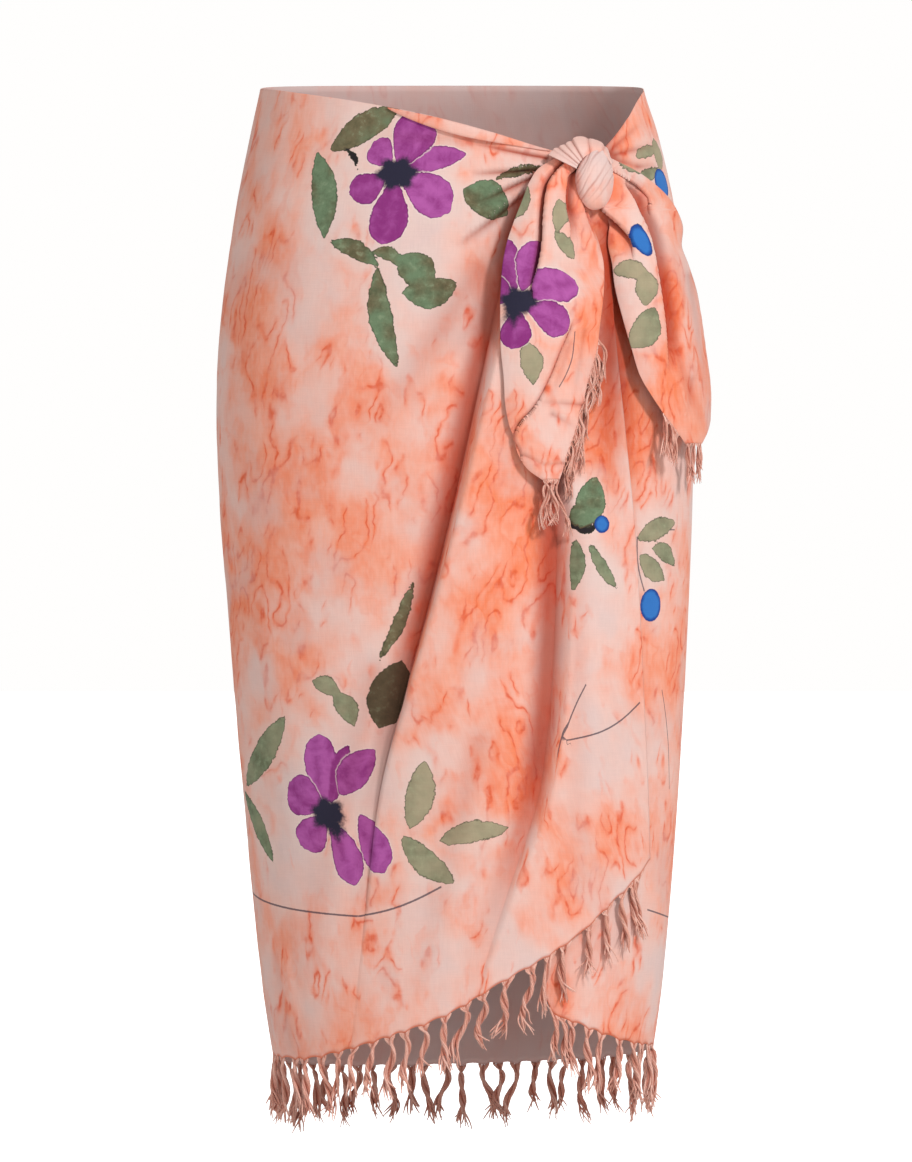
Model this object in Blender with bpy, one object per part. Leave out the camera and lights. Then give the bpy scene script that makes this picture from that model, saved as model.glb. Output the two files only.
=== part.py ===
"""A sarong of light rayon, wound round the hips and knotted at the waist, with knotted fringes.

The origin is the middle of the waist opening, where the wearer's waist holds the cloth.
+Z is up, the front of the garment faces -Y, and +X is the side with the knot.
The cloth hangs in layers over one hollow form: an oval section at each height, from a table.
A point of any piece is a place on that form and a lift away from it, in millimetres.
"""

import math

import bmesh
import bpy
import numpy as np

MM = 0.001                # metres in a millimetre
WALL = 1.6                # thickness of every cloth wall, soft finish included
SEAM_GAP = 0.3            # free space between two neighbouring pieces
SEAM_ANGLE = SEAM_GAP / 2 / 110   # half of that space as an angle on the form, 110 mm from its middle
LAYER_LIFT = 2.3          # how far the over layer stands off the form where it covers the under layer
UNDER_LAYER_EDGE = 73.0   # x of the under layer's hidden end, behind the over layer
RISER_WIDTH = 3.5         # width of the narrow step down from a pleat's ridge, as seen from the front
KNOT_X = 112.0
KNOT_Z = -74.0
KNOT_LIFT = 21.0          # from the hollow form to the middle of the knot
STRIP_HEIGHT = 3.0        # the line of knots that carries a fringe
STRIP_DEPTH = 2.0
TASSEL_WIDTH = 6.0


def table(columns, rows):
    """Return a dict that gives each named column of the rows as an array."""
    return dict(zip(columns.split(), np.array(rows, dtype=float).T))


# The hollow form: its left and right edge seen from the front, and its depth from front to back.
SECTIONS = table("height left right depth middle_y", [
    (10, -150, 150, 208, 0),
    (0, -152, 152, 210, 0),
    (-32, -159, 162, 222, 1),
    (-72, -167, 172, 236, 2),
    (-128, -176, 182, 250, 5),
    (-200, -184, 189, 260, 8),
    (-264, -186, 192, 262, 8),
    (-330, -183, 191, 256, 6),
    (-408, -177, 188, 248, 3),
    (-488, -171, 184, 242, 1),
    (-568, -164, 179, 236, 0),
    (-648, -157, 173, 231, 0),
    (-728, -148, 165, 227, 0),
    (-800, -136, 154, 224, 0),
])

# Upper and lower edge of each stretch of cloth: height at each x, as seen from the front.
OVER_TOP = table("x height", [
    (-152, 0), (-140, -2), (-118, -6), (-88, -11), (-56, -17), (-18, -25), (30, -38), (77, -53), (100, -58),
    (122, -58),
])
OVER_HEM = table("x height", [
    (-141, -773), (-114, -774), (-86, -767), (-46, -754), (-5, -738), (43, -709),
    (75, -690), (101, -671), (123, -649), (143, -629), (153, -614),
])
UNDER_TOP = table("x height", [(60, -62), (100, -60), (121, -50), (138, -27), (147, -10), (153, 0)])
UNDER_HEM = table("x height", [
    (60, -700), (74, -722), (79, -733), (97, -744), (120, -754), (140, -761), (158, -765),
])

# The three long lines of the over layer run down from the knot: two pleats and its free edge.
FIRST_PLEAT = table("height x lift", [
    (-40, 84, 0), (-64, 72, 2), (-90, 58, 6), (-168, 39, 11), (-232, 25, 14), (-344, 0, 14),
    (-408, -16, 12), (-480, -36, 9), (-548, -54, 4), (-640, -66, 1), (-790, -82, 0),
])
SECOND_PLEAT = table("height x lift", [
    (-40, 92, 0), (-64, 90, 2), (-110, 86, 5), (-168, 84, 8), (-280, 83, 10), (-344, 83, 13),
    (-459, 80, 15), (-519, 75, 14), (-562, 69, 10), (-642, 44, 4), (-700, 26, 1), (-790, 10, 0),
])
FREE_EDGE = table("height x lift", [
    (-40, 122, 0), (-64, 121, 0), (-168, 124, 0), (-272, 134, 0), (-344, 141, 0),
    (-416, 145.6, 0), (-490, 149, 0), (-557, 152, 0), (-614, 153.5, 0), (-790, 154, 0),
])
# The three stretches between those lines, from left to right: number of columns, whether the
# wall starts at the lift of the pleat before it, and the height of its crown in millimetres.
STRETCHES = table("columns at_start crown", [(16, 0, 5), (11, 1, 3), (9, 1, 1)])

# Soft troughs of the gathers, from end to end, as seen from the front.
GATHERS = table("x0 z0 x1 z1 depth width", [
    (72, -60, 18, -62, 2.0, 4.0),
    (70, -66, 4, -90, 2.4, 5.0),
    (67, -74, 20, -112, 2.2, 5.0),
    (126, -56, 148, -14, 1.6, 4.0),
    (126, -60, 158, -44, 1.8, 4.5),
    (127, -64, 160, -66, 1.6, 4.5),
])

# The free corners below the knot: edges seen from the front, lift off the form, and folds.
LEFT_TAIL = table("height left right lift fold", [
    (-66, 74, 96, 10, 0.6), (-72, 68.5, 97, 13, 2.5), (-80, 61.5, 98, 17, 3.5), (-92, 57, 99, 20, 4), (-114, 49, 108, 23, 6), (-140, 41, 116, 25, 7),
    (-168, 38, 118, 25, 7), (-208, 39, 116, 25, 6), (-240, 41, 105, 24, 5), (-262, 43, 101, 23, 4),
    (-287, 50, 94, 22, 3), (-300, 56, 88, 21, 2), (-312, 68, 80, 20, 1),
])
RIGHT_TAIL = table("height left right lift fold", [
    (-62, 121, 133, 8.5, 0.5), (-66, 122, 140, 9.2, 0.8), (-70, 122, 147, 10, 1), (-78, 121, 160, 12, 3), (-88, 120, 172, 14, 4), (-100, 120, 179, 16, 5),
    (-112, 122, 183, 16, 6), (-130, 124, 184.5, 16, 7), (-160, 129, 194, 17, 7), (-200, 137, 202, 18, 6),
    (-230, 149, 208, 18, 4), (-246, 156, 209.5, 17, 3), (-264, 169, 206, 16, 2), (-282, 187, 201, 15, 1),
])
TAIL_FOLDS = {"left_tail": (0.32, 0.62), "right_tail": (0.42, 0.78)}

# Outline of the knot round its middle: angle from +X, the loop's radius and the fan's rim.
KNOT_OUTLINE = table("angle loop rim", [
    (-180, 14.0, 0), (-150, 15.0, 0), (-120, 19.5, 0), (-92, 25.5, 0), (-60, 21.5, 0), (-30, 17.0, 0),
    (0, 15.8, 0), (30, 15.2, 16.5), (50, 17.0, 21.0), (70, 19.0, 27.5), (95, 18.0, 31.5), (112, 16.5, 35.0),
    (130, 15.0, 35.0), (150, 14.2, 39.5), (165, 14.0, 36.0), (180, 14.0, 0),
])
FAN_START = 38.0
FAN_END = 163.0
FAN_PLEATS = 5
LOOP_CREASES = 4

# Fringes: spacing and length of their tassels, and the strip's gap to the cloth's edge.
HEM_TASSELS = {"step": 17.5, "length": 38.0, "gap": 2 * SEAM_GAP}
TAIL_TASSELS = {"step": 9.0, "length": 20.0, "gap": 3 * SEAM_GAP}


def ramp(value, start, end):
    """Share of the way from start to end, kept between 0 and 1."""
    return np.clip((value - start) / (end - start), 0, 1)


def smooth(rows, x_column, y_column, at):
    """Interpolate a table with a cubic through its rows, its slope at a row from the neighbours."""
    xs = rows[x_column]
    ys = rows[y_column]
    if xs[0] > xs[-1]:
        xs = xs[::-1]
        ys = ys[::-1]
    slope = np.gradient(ys, xs)
    place = np.clip(at, xs[0], xs[-1])
    i = np.clip(np.searchsorted(xs, place, side="right") - 1, 0, len(xs) - 2)
    span = xs[i + 1] - xs[i]
    t = (place - xs[i]) / span
    return (ys[i] * (1 + 2 * t) * (1 - t) ** 2 + slope[i] * span * t * (1 - t) ** 2
            + ys[i + 1] * t * t * (3 - 2 * t) + slope[i + 1] * span * t * t * (t - 1))


def form_point(angle, height, lift):
    """Place on the hollow form: an oval with its half axes grown by the lift, in millimetres."""
    left = smooth(SECTIONS, "height", "left", height)
    right = smooth(SECTIONS, "height", "right", height)
    half_depth = smooth(SECTIONS, "height", "depth", height) / 2
    middle_y = smooth(SECTIONS, "height", "middle_y", height)
    x = (left + right) / 2 + ((right - left) / 2 + lift) * np.cos(angle)
    y = middle_y + (half_depth + lift) * np.sin(angle)
    return np.stack([x, y, height + 0 * x], axis=-1)


def front_angle(x, height, lift=0.0):
    """Angle on the front half of the form, -180 degrees to 0, at which the given x lies."""
    left = smooth(SECTIONS, "height", "left", height)
    right = smooth(SECTIONS, "height", "right", height)
    share = (x - (left + right) / 2) / ((right - left) / 2 + lift)
    return -np.arccos(np.clip(share, -1, 1))


def troughs(x, height, rows):
    """Depth of the soft troughs at a place: a bell across each line, faded out at its far end."""
    depth = np.zeros_like(x)
    for x0, z0, x1, z1, deep, width in zip(*(rows[c] for c in "x0 z0 x1 z1 depth width".split())):
        length = math.hypot(x1 - x0, z1 - z0)
        along = ((x - x0) * (x1 - x0) + (height - z0) * (z1 - z0)) / length ** 2
        nearest = np.clip(along, 0, 1)
        off = np.hypot(x - x0 - nearest * (x1 - x0), height - z0 - nearest * (z1 - z0))
        depth += deep * np.exp(-(off / width) ** 2) * (1 - 0.8 * nearest)
    return depth


def grid_normals(points):
    """Unit normals of a grid of points, turned away from the middle of the garment."""
    down = np.gradient(points, axis=0)
    across = np.gradient(points, axis=1)
    normals = np.cross(down, across)
    normals /= np.linalg.norm(normals, axis=-1, keepdims=True)
    outward = points * (1, 1, 0)
    return normals if (normals * outward).sum() > 0 else -normals


def shell_mesh(inner, outer):
    """Close two grids of equal size into one wall: both faces, and a rim round the edge."""
    rows, columns = inner.shape[:2]
    count = rows * columns
    vertices = np.concatenate([inner.reshape(-1, 3), outer.reshape(-1, 3)]) * MM
    index = np.arange(count).reshape(rows, columns)
    a, b, c, d = index[:-1, :-1], index[:-1, 1:], index[1:, 1:], index[1:, :-1]
    inside = np.stack([a, b, c, d], axis=-1).reshape(-1, 4)
    outside = np.stack([a, d, c, b], axis=-1).reshape(-1, 4) + count
    edge = np.concatenate([index[0, :-1], index[:-1, -1], index[-1, :0:-1], index[:0:-1, 0]])
    following = np.roll(edge, -1)
    rim = np.stack([edge, edge + count, following + count, following], axis=-1)
    return vertices, np.concatenate([inside, outside, rim])


def add_object(name, vertices, faces, material):
    """Make one closed object with its faces pointing out."""
    mesh = bpy.data.meshes.new(name)
    mesh.from_pydata([tuple(v) for v in vertices], [], [tuple(int(i) for i in f) for f in faces])
    model = bmesh.new()
    model.from_mesh(mesh)
    bmesh.ops.recalc_face_normals(model, faces=model.faces)
    model.to_mesh(mesh)
    model.free()
    mesh.shade_smooth()
    mesh.set_sharp_from_angle(angle=math.radians(50))
    mesh.materials.append(material)
    bpy.context.scene.collection.objects.link(bpy.data.objects.new(name, mesh))


def cloth_wall(name, inner, material, thickness=WALL):
    """Make a wall of cloth outside a grid of points, and return the middle of the wall."""
    normals = grid_normals(inner)
    vertices, faces = shell_mesh(inner, inner + normals * thickness)
    add_object(name, vertices, faces, material)
    return inner + normals * thickness / 2


def make_material(name, colour, roughness):
    """A plain shader in the colour of the cloth."""
    material = bpy.data.materials.new(name)
    material.use_nodes = True
    shader = material.node_tree.nodes["Principled BSDF"]
    shader.inputs["Base Color"].default_value = (*colour, 1)
    shader.inputs["Roughness"].default_value = roughness
    shader.inputs["Metallic"].default_value = 0
    return material


def own_lift(x, height):
    """Lift of the over layer without its folds: it covers the under layer and rises to the knot."""
    return (LAYER_LIFT * ramp(x, -20, 60) + 1.2 * ramp(x, 30, 70)
            + 2.2 * ramp(x, 20, 70) * ramp(height, -190, -110))


def over_layer_grid(rows=27):
    """Inner face of the over layer: columns run along the pleats, rows from top edge to hem.

    Between two lines the lift goes from the pleat's height down to the next line, plus a crown.
    A pleat's riser is the narrow column between the end of one stretch and the start of the next.
    """
    lines = (FIRST_PLEAT, SECOND_PLEAT, FREE_EDGE)
    down = np.linspace(0, 1, rows)[:, None]
    grids = []
    for k, line in enumerate(lines):
        share = np.linspace(0, 1, int(STRETCHES["columns"][k]))[None, :]
        height = -60 - 650 * down + 0 * share
        for _ in range(12):
            if k == 0:
                start = SEAM_ANGLE - math.pi + 0 * height
            else:
                riser = RISER_WIDTH * np.clip(smooth(lines[k - 1], "height", "lift", height) / 8, 0.15, 1)
                start = front_angle(smooth(lines[k - 1], "height", "x", height) + riser, height)
            end = front_angle(smooth(line, "height", "x", height), height)
            angle = start + (end - start) * share
            x = form_point(angle, height, 0)[..., 0]
            top = smooth(OVER_TOP, "x", "height", x)
            hem = smooth(OVER_HEM, "x", "height", x)
            height = top + (hem - top) * down
        rise = 0 if k == 0 else smooth(lines[k - 1], "height", "lift", height)
        fall = smooth(line, "height", "lift", height)
        crown = STRETCHES["crown"][k] * np.sin(math.pi * share) ** 0.8 * ramp(top - height, 0, 90)
        lift = rise * STRETCHES["at_start"][k] * (1 - share) ** 1.6 + crown * (0.4 + fall / 12)
        gathered = troughs(x, height, GATHERS) * ramp(x, -60, 0) * ramp(height, -190, -110)
        lift = lift + own_lift(x, height) - gathered
        lift = np.where(x > 55, np.maximum(lift, LAYER_LIFT), np.maximum(lift, -3))
        grids.append(form_point(angle, height, lift))
    return np.concatenate(grids, axis=1)


def under_layer_grid(rows=22, columns=14):
    """Inner face of the under layer, from its hidden end to the knot side of the garment."""
    down = np.linspace(0, 1, rows)[:, None]
    share = np.linspace(0, 1, columns)[None, :]
    height = -60 - 700 * down + 0 * share
    for _ in range(12):
        start = front_angle(UNDER_LAYER_EDGE + 0 * height, height)
        angle = start + (-SEAM_ANGLE - start) * share
        x = form_point(angle, height, 0)[..., 0]
        top = smooth(UNDER_TOP, "x", "height", x)
        height = top + (smooth(UNDER_HEM, "x", "height", x) - top) * down
    free = ramp(x, 124, 144) * ramp(x, 165, 153)
    return form_point(angle, height, -troughs(x, height, GATHERS) * free)


def back_grid(rows=20, columns=29):
    """Inner face of the back: an even wall with shallow hanging waves, deeper towards the hem."""
    down = np.linspace(0, 1, rows)[:, None]
    angle = np.linspace(SEAM_ANGLE, math.pi - SEAM_ANGLE, columns)[None, :]
    middle = np.sin(angle)
    top = 3.0 * middle + 0 * down
    hem = -765 - 4 * (1 - np.cos(angle)) - 17 * middle ** 0.7
    height = top + (hem - top) * down
    wave = np.sin(5 * angle + 0.7) + 0.5 * np.sin(9 * angle + 2 * down)
    return form_point(angle + 0 * down, height, 2.2 * wave * middle * down ** 1.3)


def waist_roll(material):
    """The top edge turned outwards: a lens-shaped tube on the over layer, from side to knot."""
    share = np.linspace(0, 1, 25)[:, None]
    turn = np.linspace(0, 2 * math.pi, 9)[None, :-1]
    x = -50 + 124 * share
    half_height = 0.7 + 4.3 * np.sin(math.pi * share ** 0.8) ** 1.1
    half_depth = 0.6 + 1.3 * np.sin(math.pi * share ** 0.8) ** 1.1
    top = smooth(OVER_TOP, "x", "height", x)
    height = top - half_height + half_height * np.sin(turn)
    lift = own_lift(x, height) + WALL + 0.6 + half_depth * (1 + np.cos(turn))
    tube = form_point(front_angle(x + 0 * turn, height), height, lift)
    rings, sides = tube.shape[:2]
    index = np.arange(rings * sides).reshape(rings, sides)
    faces = np.stack([index[:-1], np.roll(index[:-1], -1, 1), np.roll(index[1:], -1, 1), index[1:]], -1)
    faces = [list(f) for f in faces.reshape(-1, 4)] + [list(index[0]), list(index[-1])]
    add_object("waist_roll", tube.reshape(-1, 3) * MM, faces, material)


def tail_grid(name, rows_table, rows=21, columns=15):
    """Inner face of a free corner: a sheet with long folds whose edges turn back to the skirt."""
    heights = rows_table["height"]
    height = np.linspace(heights[0], heights[-1], rows)[:, None]
    share = np.linspace(0, 1, columns)[None, :]
    left = smooth(rows_table, "height", "left", height)
    right = smooth(rows_table, "height", "right", height)
    lift = smooth(rows_table, "height", "lift", height)
    fold = smooth(rows_table, "height", "fold", height)
    shape = -0.9 * np.abs(2 * share - 1) ** 3
    for place in TAIL_FOLDS[name]:
        shape = shape - 0.9 * np.exp(-((share - place) / 0.07) ** 2)
    x = left + (right - left) * share
    level = lift + fold * shape
    return form_point(front_angle(x, height + 0 * x, level), height + 0 * x, level)


def knot_points(angle, radius, lift):
    """Place a polar point of the knot, degrees and millimetres from its middle, on the form."""
    x = KNOT_X + radius * np.cos(np.radians(angle))
    height = KNOT_Z + radius * np.sin(np.radians(angle)) + 0 * lift
    return form_point(front_angle(x + 0 * lift, height, lift), height, lift)


def knot_loop(material):
    """The loop of the knot: a closed rounded bulb with slanting creases."""
    across = np.linspace(-180, 180, 25)[None, :-1]
    ring = np.linspace(0, math.pi, 11)[1:-1, None]
    radius = smooth(KNOT_OUTLINE, "angle", "loop", across) * np.sin(ring)
    crease = 1 + 0.05 * np.cos(LOOP_CREASES * 2 * np.radians(across) + 3 * ring)
    lift = KNOT_LIFT + 11.5 * np.cos(ring) * crease + 0 * across
    rings = knot_points(across, radius * crease, lift)
    poles = knot_points(np.array([0.0, 0.0]), np.array([0.0, 0.0]), KNOT_LIFT + np.array([11.5, -11.5]))
    count, sides = rings.shape[:2]
    index = np.arange(count * sides).reshape(count, sides)
    faces = np.stack([index[:-1], np.roll(index[:-1], -1, 1), np.roll(index[1:], -1, 1), index[1:]], -1)
    faces = [list(f) for f in faces.reshape(-1, 4)]
    for row, pole in ((index[0], count * sides), (index[-1], count * sides + 1)):
        faces += [[a, b, pole] for a, b in zip(row, np.roll(row, -1))]
    add_object("knot_loop", np.concatenate([rings.reshape(-1, 3), poles]) * MM, faces, material)


def knot_fan(material):
    """The pleated turn over the loop: a thick fan whose pleats run from the loop to its rim."""
    out = np.linspace(0, 1, 6)[:, None]
    angle = np.linspace(FAN_START, FAN_END, 26)[None, :]
    inner_radius = smooth(KNOT_OUTLINE, "angle", "loop", angle) * 1.05 + 0.45
    rim = smooth(KNOT_OUTLINE, "angle", "rim", angle)
    rim = np.maximum(rim, inner_radius + 3)
    radius = inner_radius + (rim - inner_radius) * out
    phase = (angle - FAN_START) / (FAN_END - FAN_START)
    pleat = np.cos(2 * math.pi * FAN_PLEATS * phase)
    face = KNOT_LIFT + 9 * np.cos(0.5 * math.pi * out ** 1.5) - 2 + 1.0 * pleat * (0.4 + 0.6 * out)
    back = KNOT_LIFT - 8 + 3 * out + 0 * angle
    vertices, faces = shell_mesh(knot_points(angle, radius, back), knot_points(angle, radius, face))
    add_object("knot_fan", vertices, faces, material)


def fringe(name, edge, away, tassels, material, seed):
    """A narrow strip of knots along a cloth edge, with four-sided tassels fused to it.

    The edge is a run of points in millimetres, and away is the direction out of the cloth there.
    The strip is a chain of boxes. Under each tassel the box's lower face is drawn out in steps.
    """
    random = np.random.default_rng(seed)
    length = np.concatenate([[0], np.cumsum(np.linalg.norm(np.diff(edge, axis=0), axis=1))])
    count = max(2, round(length[-1] / tassels["step"]))
    width = min(TASSEL_WIDTH, 0.55 * length[-1] / count)
    middles = (np.arange(count) + 0.5) * length[-1] / count
    stations = np.unique(np.concatenate([[0, length[-1]], middles - width / 2, middles + width / 2]))
    at = np.stack([np.interp(stations, length, edge[:, c]) for c in range(3)], axis=-1)
    out = np.stack([np.interp(stations, length, away[:, c]) for c in range(3)], axis=-1)
    out /= np.linalg.norm(out, axis=-1, keepdims=True)
    run = np.gradient(at, axis=0)
    side = np.cross(run, out)
    side *= STRIP_DEPTH / 2 / np.linalg.norm(side, axis=-1, keepdims=True)
    top = at + out * tassels["gap"]
    low = top + out * STRIP_HEIGHT
    vertices = list(np.stack([top - side, top + side, low + side, low - side], axis=1).reshape(-1, 3))
    faces = [[0, 1, 2, 3]]
    for k in range(len(stations) - 1):
        first = 4 * k
        for s in range(4):
            corners = [first + s, first + (s + 1) % 4, first + 4 + (s + 1) % 4, first + 4 + s]
            middle = (stations[k] + stations[k + 1]) / 2
            if s != 2 or np.abs(middles - middle).min() > 0.01:
                faces.append(corners)
                continue
            reach = tassels["length"] * random.uniform(0.82, 1.12)
            sway = np.array([random.uniform(-0.12, 0.12), random.uniform(-0.05, 0.05), -1.0])
            centre = sum(vertices[c] for c in corners) / 4
            ring = corners
            for share, girth in ((0.45, 1.0), (1.0, 0.55)):
                shift = (out[k] * (1 - share) + sway * share) * reach * share
                shift[2] = -abs(shift[2])
                start = len(vertices)
                for corner in corners:
                    vertices.append(centre + shift + (vertices[corner] - centre) * girth)
                fresh = [start, start + 1, start + 2, start + 3]
                for i in range(4):
                    faces.append([ring[i], ring[(i + 1) % 4], fresh[(i + 1) % 4], fresh[i]])
                ring = fresh
            faces.append(ring)
    last = 4 * (len(stations) - 1)
    faces.append([last, last + 1, last + 2, last + 3])
    add_object(name, np.array(vertices) * MM, faces, material)


def hem_fringe(name, wall_middle, material, seed):
    """Fringe along the last row of a wall of cloth."""
    away = wall_middle[-1] - wall_middle[-2]
    fringe(name, wall_middle[-1], away, HEM_TASSELS, material, seed)


def tip_fringe(name, wall_middle, length, material, seed):
    """Fringe of a given length along the short lower edge of a free corner."""
    edge = wall_middle[-1, 1:-1]
    away = np.array([[0, 0, -1.0]]).repeat(len(edge), axis=0)
    fringe(name, edge, away, {**TAIL_TASSELS, "step": 5.0, "length": length}, material, seed)


def side_fringe(name, wall_middle, column, rows, material, seed):
    """Fringe along a stretch of one side of a free corner, given by its outer column and rows."""
    rim = wall_middle[rows, column]
    away = rim - wall_middle[rows, -1 - column] * (1, 1, 0) - rim * (0, 0, 1)
    radial = rim * (1, 1, 0) / np.linalg.norm(rim[:, :2], axis=1, keepdims=True)
    away = away - (away * radial).sum(axis=1, keepdims=True) * radial
    fringe(name, rim, away - 20 * np.array([0, 0, 1.0]), TAIL_TASSELS, material, seed)


def build():
    """Make every piece of the sarong."""
    for thing in list(bpy.data.objects):
        bpy.data.objects.remove(thing)
    cloth = make_material("printed_rayon", (0.80, 0.42, 0.32), 0.8)
    twist = make_material("rayon_fringe", (0.70, 0.33, 0.24), 0.85)

    back = cloth_wall("back_wrap", back_grid(), cloth)
    over = cloth_wall("front_over", over_layer_grid(), cloth)
    under = cloth_wall("front_under", under_layer_grid(), cloth)
    waist_roll(cloth)
    knot_loop(cloth)
    knot_fan(cloth)
    left = cloth_wall("left_tail", tail_grid("left_tail", LEFT_TAIL), cloth)
    right = cloth_wall("right_tail", tail_grid("right_tail", RIGHT_TAIL), cloth)

    hem_fringe("fringe_back_hem", back, twist, 1)
    hem_fringe("fringe_over_hem", over, twist, 2)
    hem_fringe("fringe_under_hem", under, twist, 3)
    side_fringe("fringe_left_tail_side", left, -1, slice(13, 20), twist, 4)
    side_fringe("fringe_right_tail_side", right, 0, slice(15, 20), twist, 5)
    tip_fringe("fringe_left_tail_tip", left, 34.0, twist, 6)
    tip_fringe("fringe_right_tail_tip", right, TAIL_TASSELS["length"], twist, 7)


build()
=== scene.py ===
"""A sarong of printed rayon, wound round the hips, knotted at the waist and fringed along its hems."""

import math

import bpy
import numpy as np
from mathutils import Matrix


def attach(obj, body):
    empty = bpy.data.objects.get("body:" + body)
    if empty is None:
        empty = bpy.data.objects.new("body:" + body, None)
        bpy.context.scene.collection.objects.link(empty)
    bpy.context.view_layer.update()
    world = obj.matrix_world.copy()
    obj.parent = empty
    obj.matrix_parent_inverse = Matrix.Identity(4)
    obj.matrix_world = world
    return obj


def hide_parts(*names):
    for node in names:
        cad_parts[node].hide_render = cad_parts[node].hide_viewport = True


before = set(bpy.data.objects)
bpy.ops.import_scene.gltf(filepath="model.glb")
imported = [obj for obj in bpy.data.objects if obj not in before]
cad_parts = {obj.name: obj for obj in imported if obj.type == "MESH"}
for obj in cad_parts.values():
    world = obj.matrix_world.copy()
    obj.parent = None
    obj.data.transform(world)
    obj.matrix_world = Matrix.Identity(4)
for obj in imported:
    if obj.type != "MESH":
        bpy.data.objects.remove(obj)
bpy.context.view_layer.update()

# The back stretch: one even width of cloth that hangs round the back of the hips from side to
# side. It is plain woven rayon, dyed in marbled clouds and printed, and its wrong side shows
# through the open waist and below the front hem.

MM = 0.001                # metres in a millimetre
WALL = 1.5                # the right side of the cloth lies this far outside the hollow form
CLOTH = 0.6               # thickness of the cloth itself
SEAM_ANGLE = 0.02 / 110   # half the gap between two stretches as an angle, 110 mm from the middle
FAR = 60.0                # distance that stands for "nowhere near" a motif or a hem
TASSEL_STEP = 17.5        # mean distance between the tassels of a hem
HEM_RISE = 2.6            # how far a hem is drawn up between two tassels
HEM_POWER = 40            # the rise fades upwards with this power of the share of the way down
HALF_HIPS = (176, 122)    # half the breadth and half the depth of the oval that a run is measured on


def table(columns, rows):
    """Return a dict that gives each named column of the rows as an array."""
    return dict(zip(columns.split(), np.array(rows, dtype=float).T))


def ramp(value, start, end):
    """Share of the way from start to end, kept between 0 and 1."""
    return np.clip((value - start) / (end - start), 0, 1)


def bell(off, width):
    """One at the middle of a bell curve, which fades as the distance from it nears the width."""
    return np.exp(-(off / width) ** 2)


def eased(share):
    """Ease a share from 0 to 1 in and out."""
    return share * share * (3 - 2 * share)


SECTIONS = table("height left right depth middle_y", [
    (10, -150, 150, 208, 0),
    (0, -152, 152, 210, 0),
    (-32, -159, 162, 222, 1),
    (-72, -167, 172, 236, 2),
    (-128, -176, 182, 250, 5),
    (-200, -184, 189, 260, 8),
    (-264, -186, 192, 262, 8),
    (-330, -183, 191, 256, 6),
    (-408, -177, 188, 248, 3),
    (-488, -171, 184, 242, 1),
    (-568, -164, 179, 236, 0),
    (-648, -157, 173, 231, 0),
    (-728, -148, 165, 227, 0),
    (-800, -136, 154, 224, 0),
])


def smooth(rows, x_column, y_column, at):
    """Interpolate a table with a cubic through its rows, its slope at a row from the neighbours."""
    xs = rows[x_column]
    ys = rows[y_column]
    if xs[0] > xs[-1]:
        xs = xs[::-1]
        ys = ys[::-1]
    slope = np.gradient(ys, xs)
    place = np.clip(at, xs[0], xs[-1])
    i = np.clip(np.searchsorted(xs, place, side="right") - 1, 0, len(xs) - 2)
    span = xs[i + 1] - xs[i]
    t = (place - xs[i]) / span
    return (ys[i] * (1 + 2 * t) * (1 - t) ** 2 + slope[i] * span * t * (1 - t) ** 2
            + ys[i + 1] * t * t * (3 - 2 * t) + slope[i + 1] * span * t * t * (t - 1))


def form_point(angle, height, lift):
    """Place on the hollow form: an oval with its half axes grown by the lift, in millimetres."""
    left = smooth(SECTIONS, "height", "left", height)
    right = smooth(SECTIONS, "height", "right", height)
    half_depth = smooth(SECTIONS, "height", "depth", height) / 2
    middle_y = smooth(SECTIONS, "height", "middle_y", height)
    x = (left + right) / 2 + ((right - left) / 2 + lift) * np.cos(angle)
    y = middle_y + (half_depth + lift) * np.sin(angle)
    return np.stack([x, y, height + 0 * x], axis=-1)


def soft_noise(across, down, seed):
    """Smooth noise from -1 to 1: random heights at whole numbers of both coordinates, eased."""
    lattice = np.random.default_rng(seed).uniform(-1, 1, (64, 64))
    i, j = np.floor(across).astype(int), np.floor(down).astype(int)
    u, v = eased(across - i), eased(down - j)
    upper = lattice[i % 64, j % 64] * (1 - u) + lattice[(i + 1) % 64, j % 64] * u
    lower = lattice[i % 64, (j + 1) % 64] * (1 - u) + lattice[(i + 1) % 64, (j + 1) % 64] * u
    return upper * (1 - v) + lower * v


def rumple(run, height, seed):
    """Slight unevenness of hanging cloth: long upright waves and smaller soft dents."""
    return (0.55 * soft_noise(run / 34, height / 210, seed)
            + 0.30 * soft_noise(run / 17 + height / 90, height / 60, seed + 1)
            + 0.14 * soft_noise(run / 8, height / 12, seed + 2))


def cloth_run(angle):
    """Distance round the form from its front middle, in millimetres, on an oval of the hip's size."""
    steps = np.linspace(-math.pi, math.pi, 721)
    pace = np.hypot(HALF_HIPS[0] * np.sin(steps), HALF_HIPS[1] * np.cos(steps)) * (steps[1] - steps[0])
    total = np.concatenate([[0], np.cumsum((pace[1:] + pace[:-1]) / 2)])
    total -= np.interp(-math.pi / 2, steps, total)
    return np.interp(angle, steps, total)


def tassel_places(first, last, step, seed):
    """Uneven places of the tassels along an edge, in millimetres of run, a step apart on average."""
    count = max(2, round(abs(last - first) / step))
    jitter = np.random.default_rng(seed).uniform(-0.2, 0.2, count)
    return first + (np.arange(count) + 0.5 + jitter) * (last - first) / count


def scallop(run, places):
    """Rise of a hem between its tassels: half a sine wave from each tassel to the next."""
    after = np.clip(np.searchsorted(places, run), 1, len(places) - 1)
    return HEM_RISE * np.sin(math.pi * ramp(run, places[after - 1], places[after])) ** 0.7


def drawn_up(run, height, down, seed):
    """Places of the tassels along the last row of a stretch, and the heights of the stretch with
    its hem drawn up between them."""
    places = tassel_places(run[-1, 0], run[-1, -1], TASSEL_STEP, seed)
    return places, height + scallop(run, places) * down ** HEM_POWER


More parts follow.
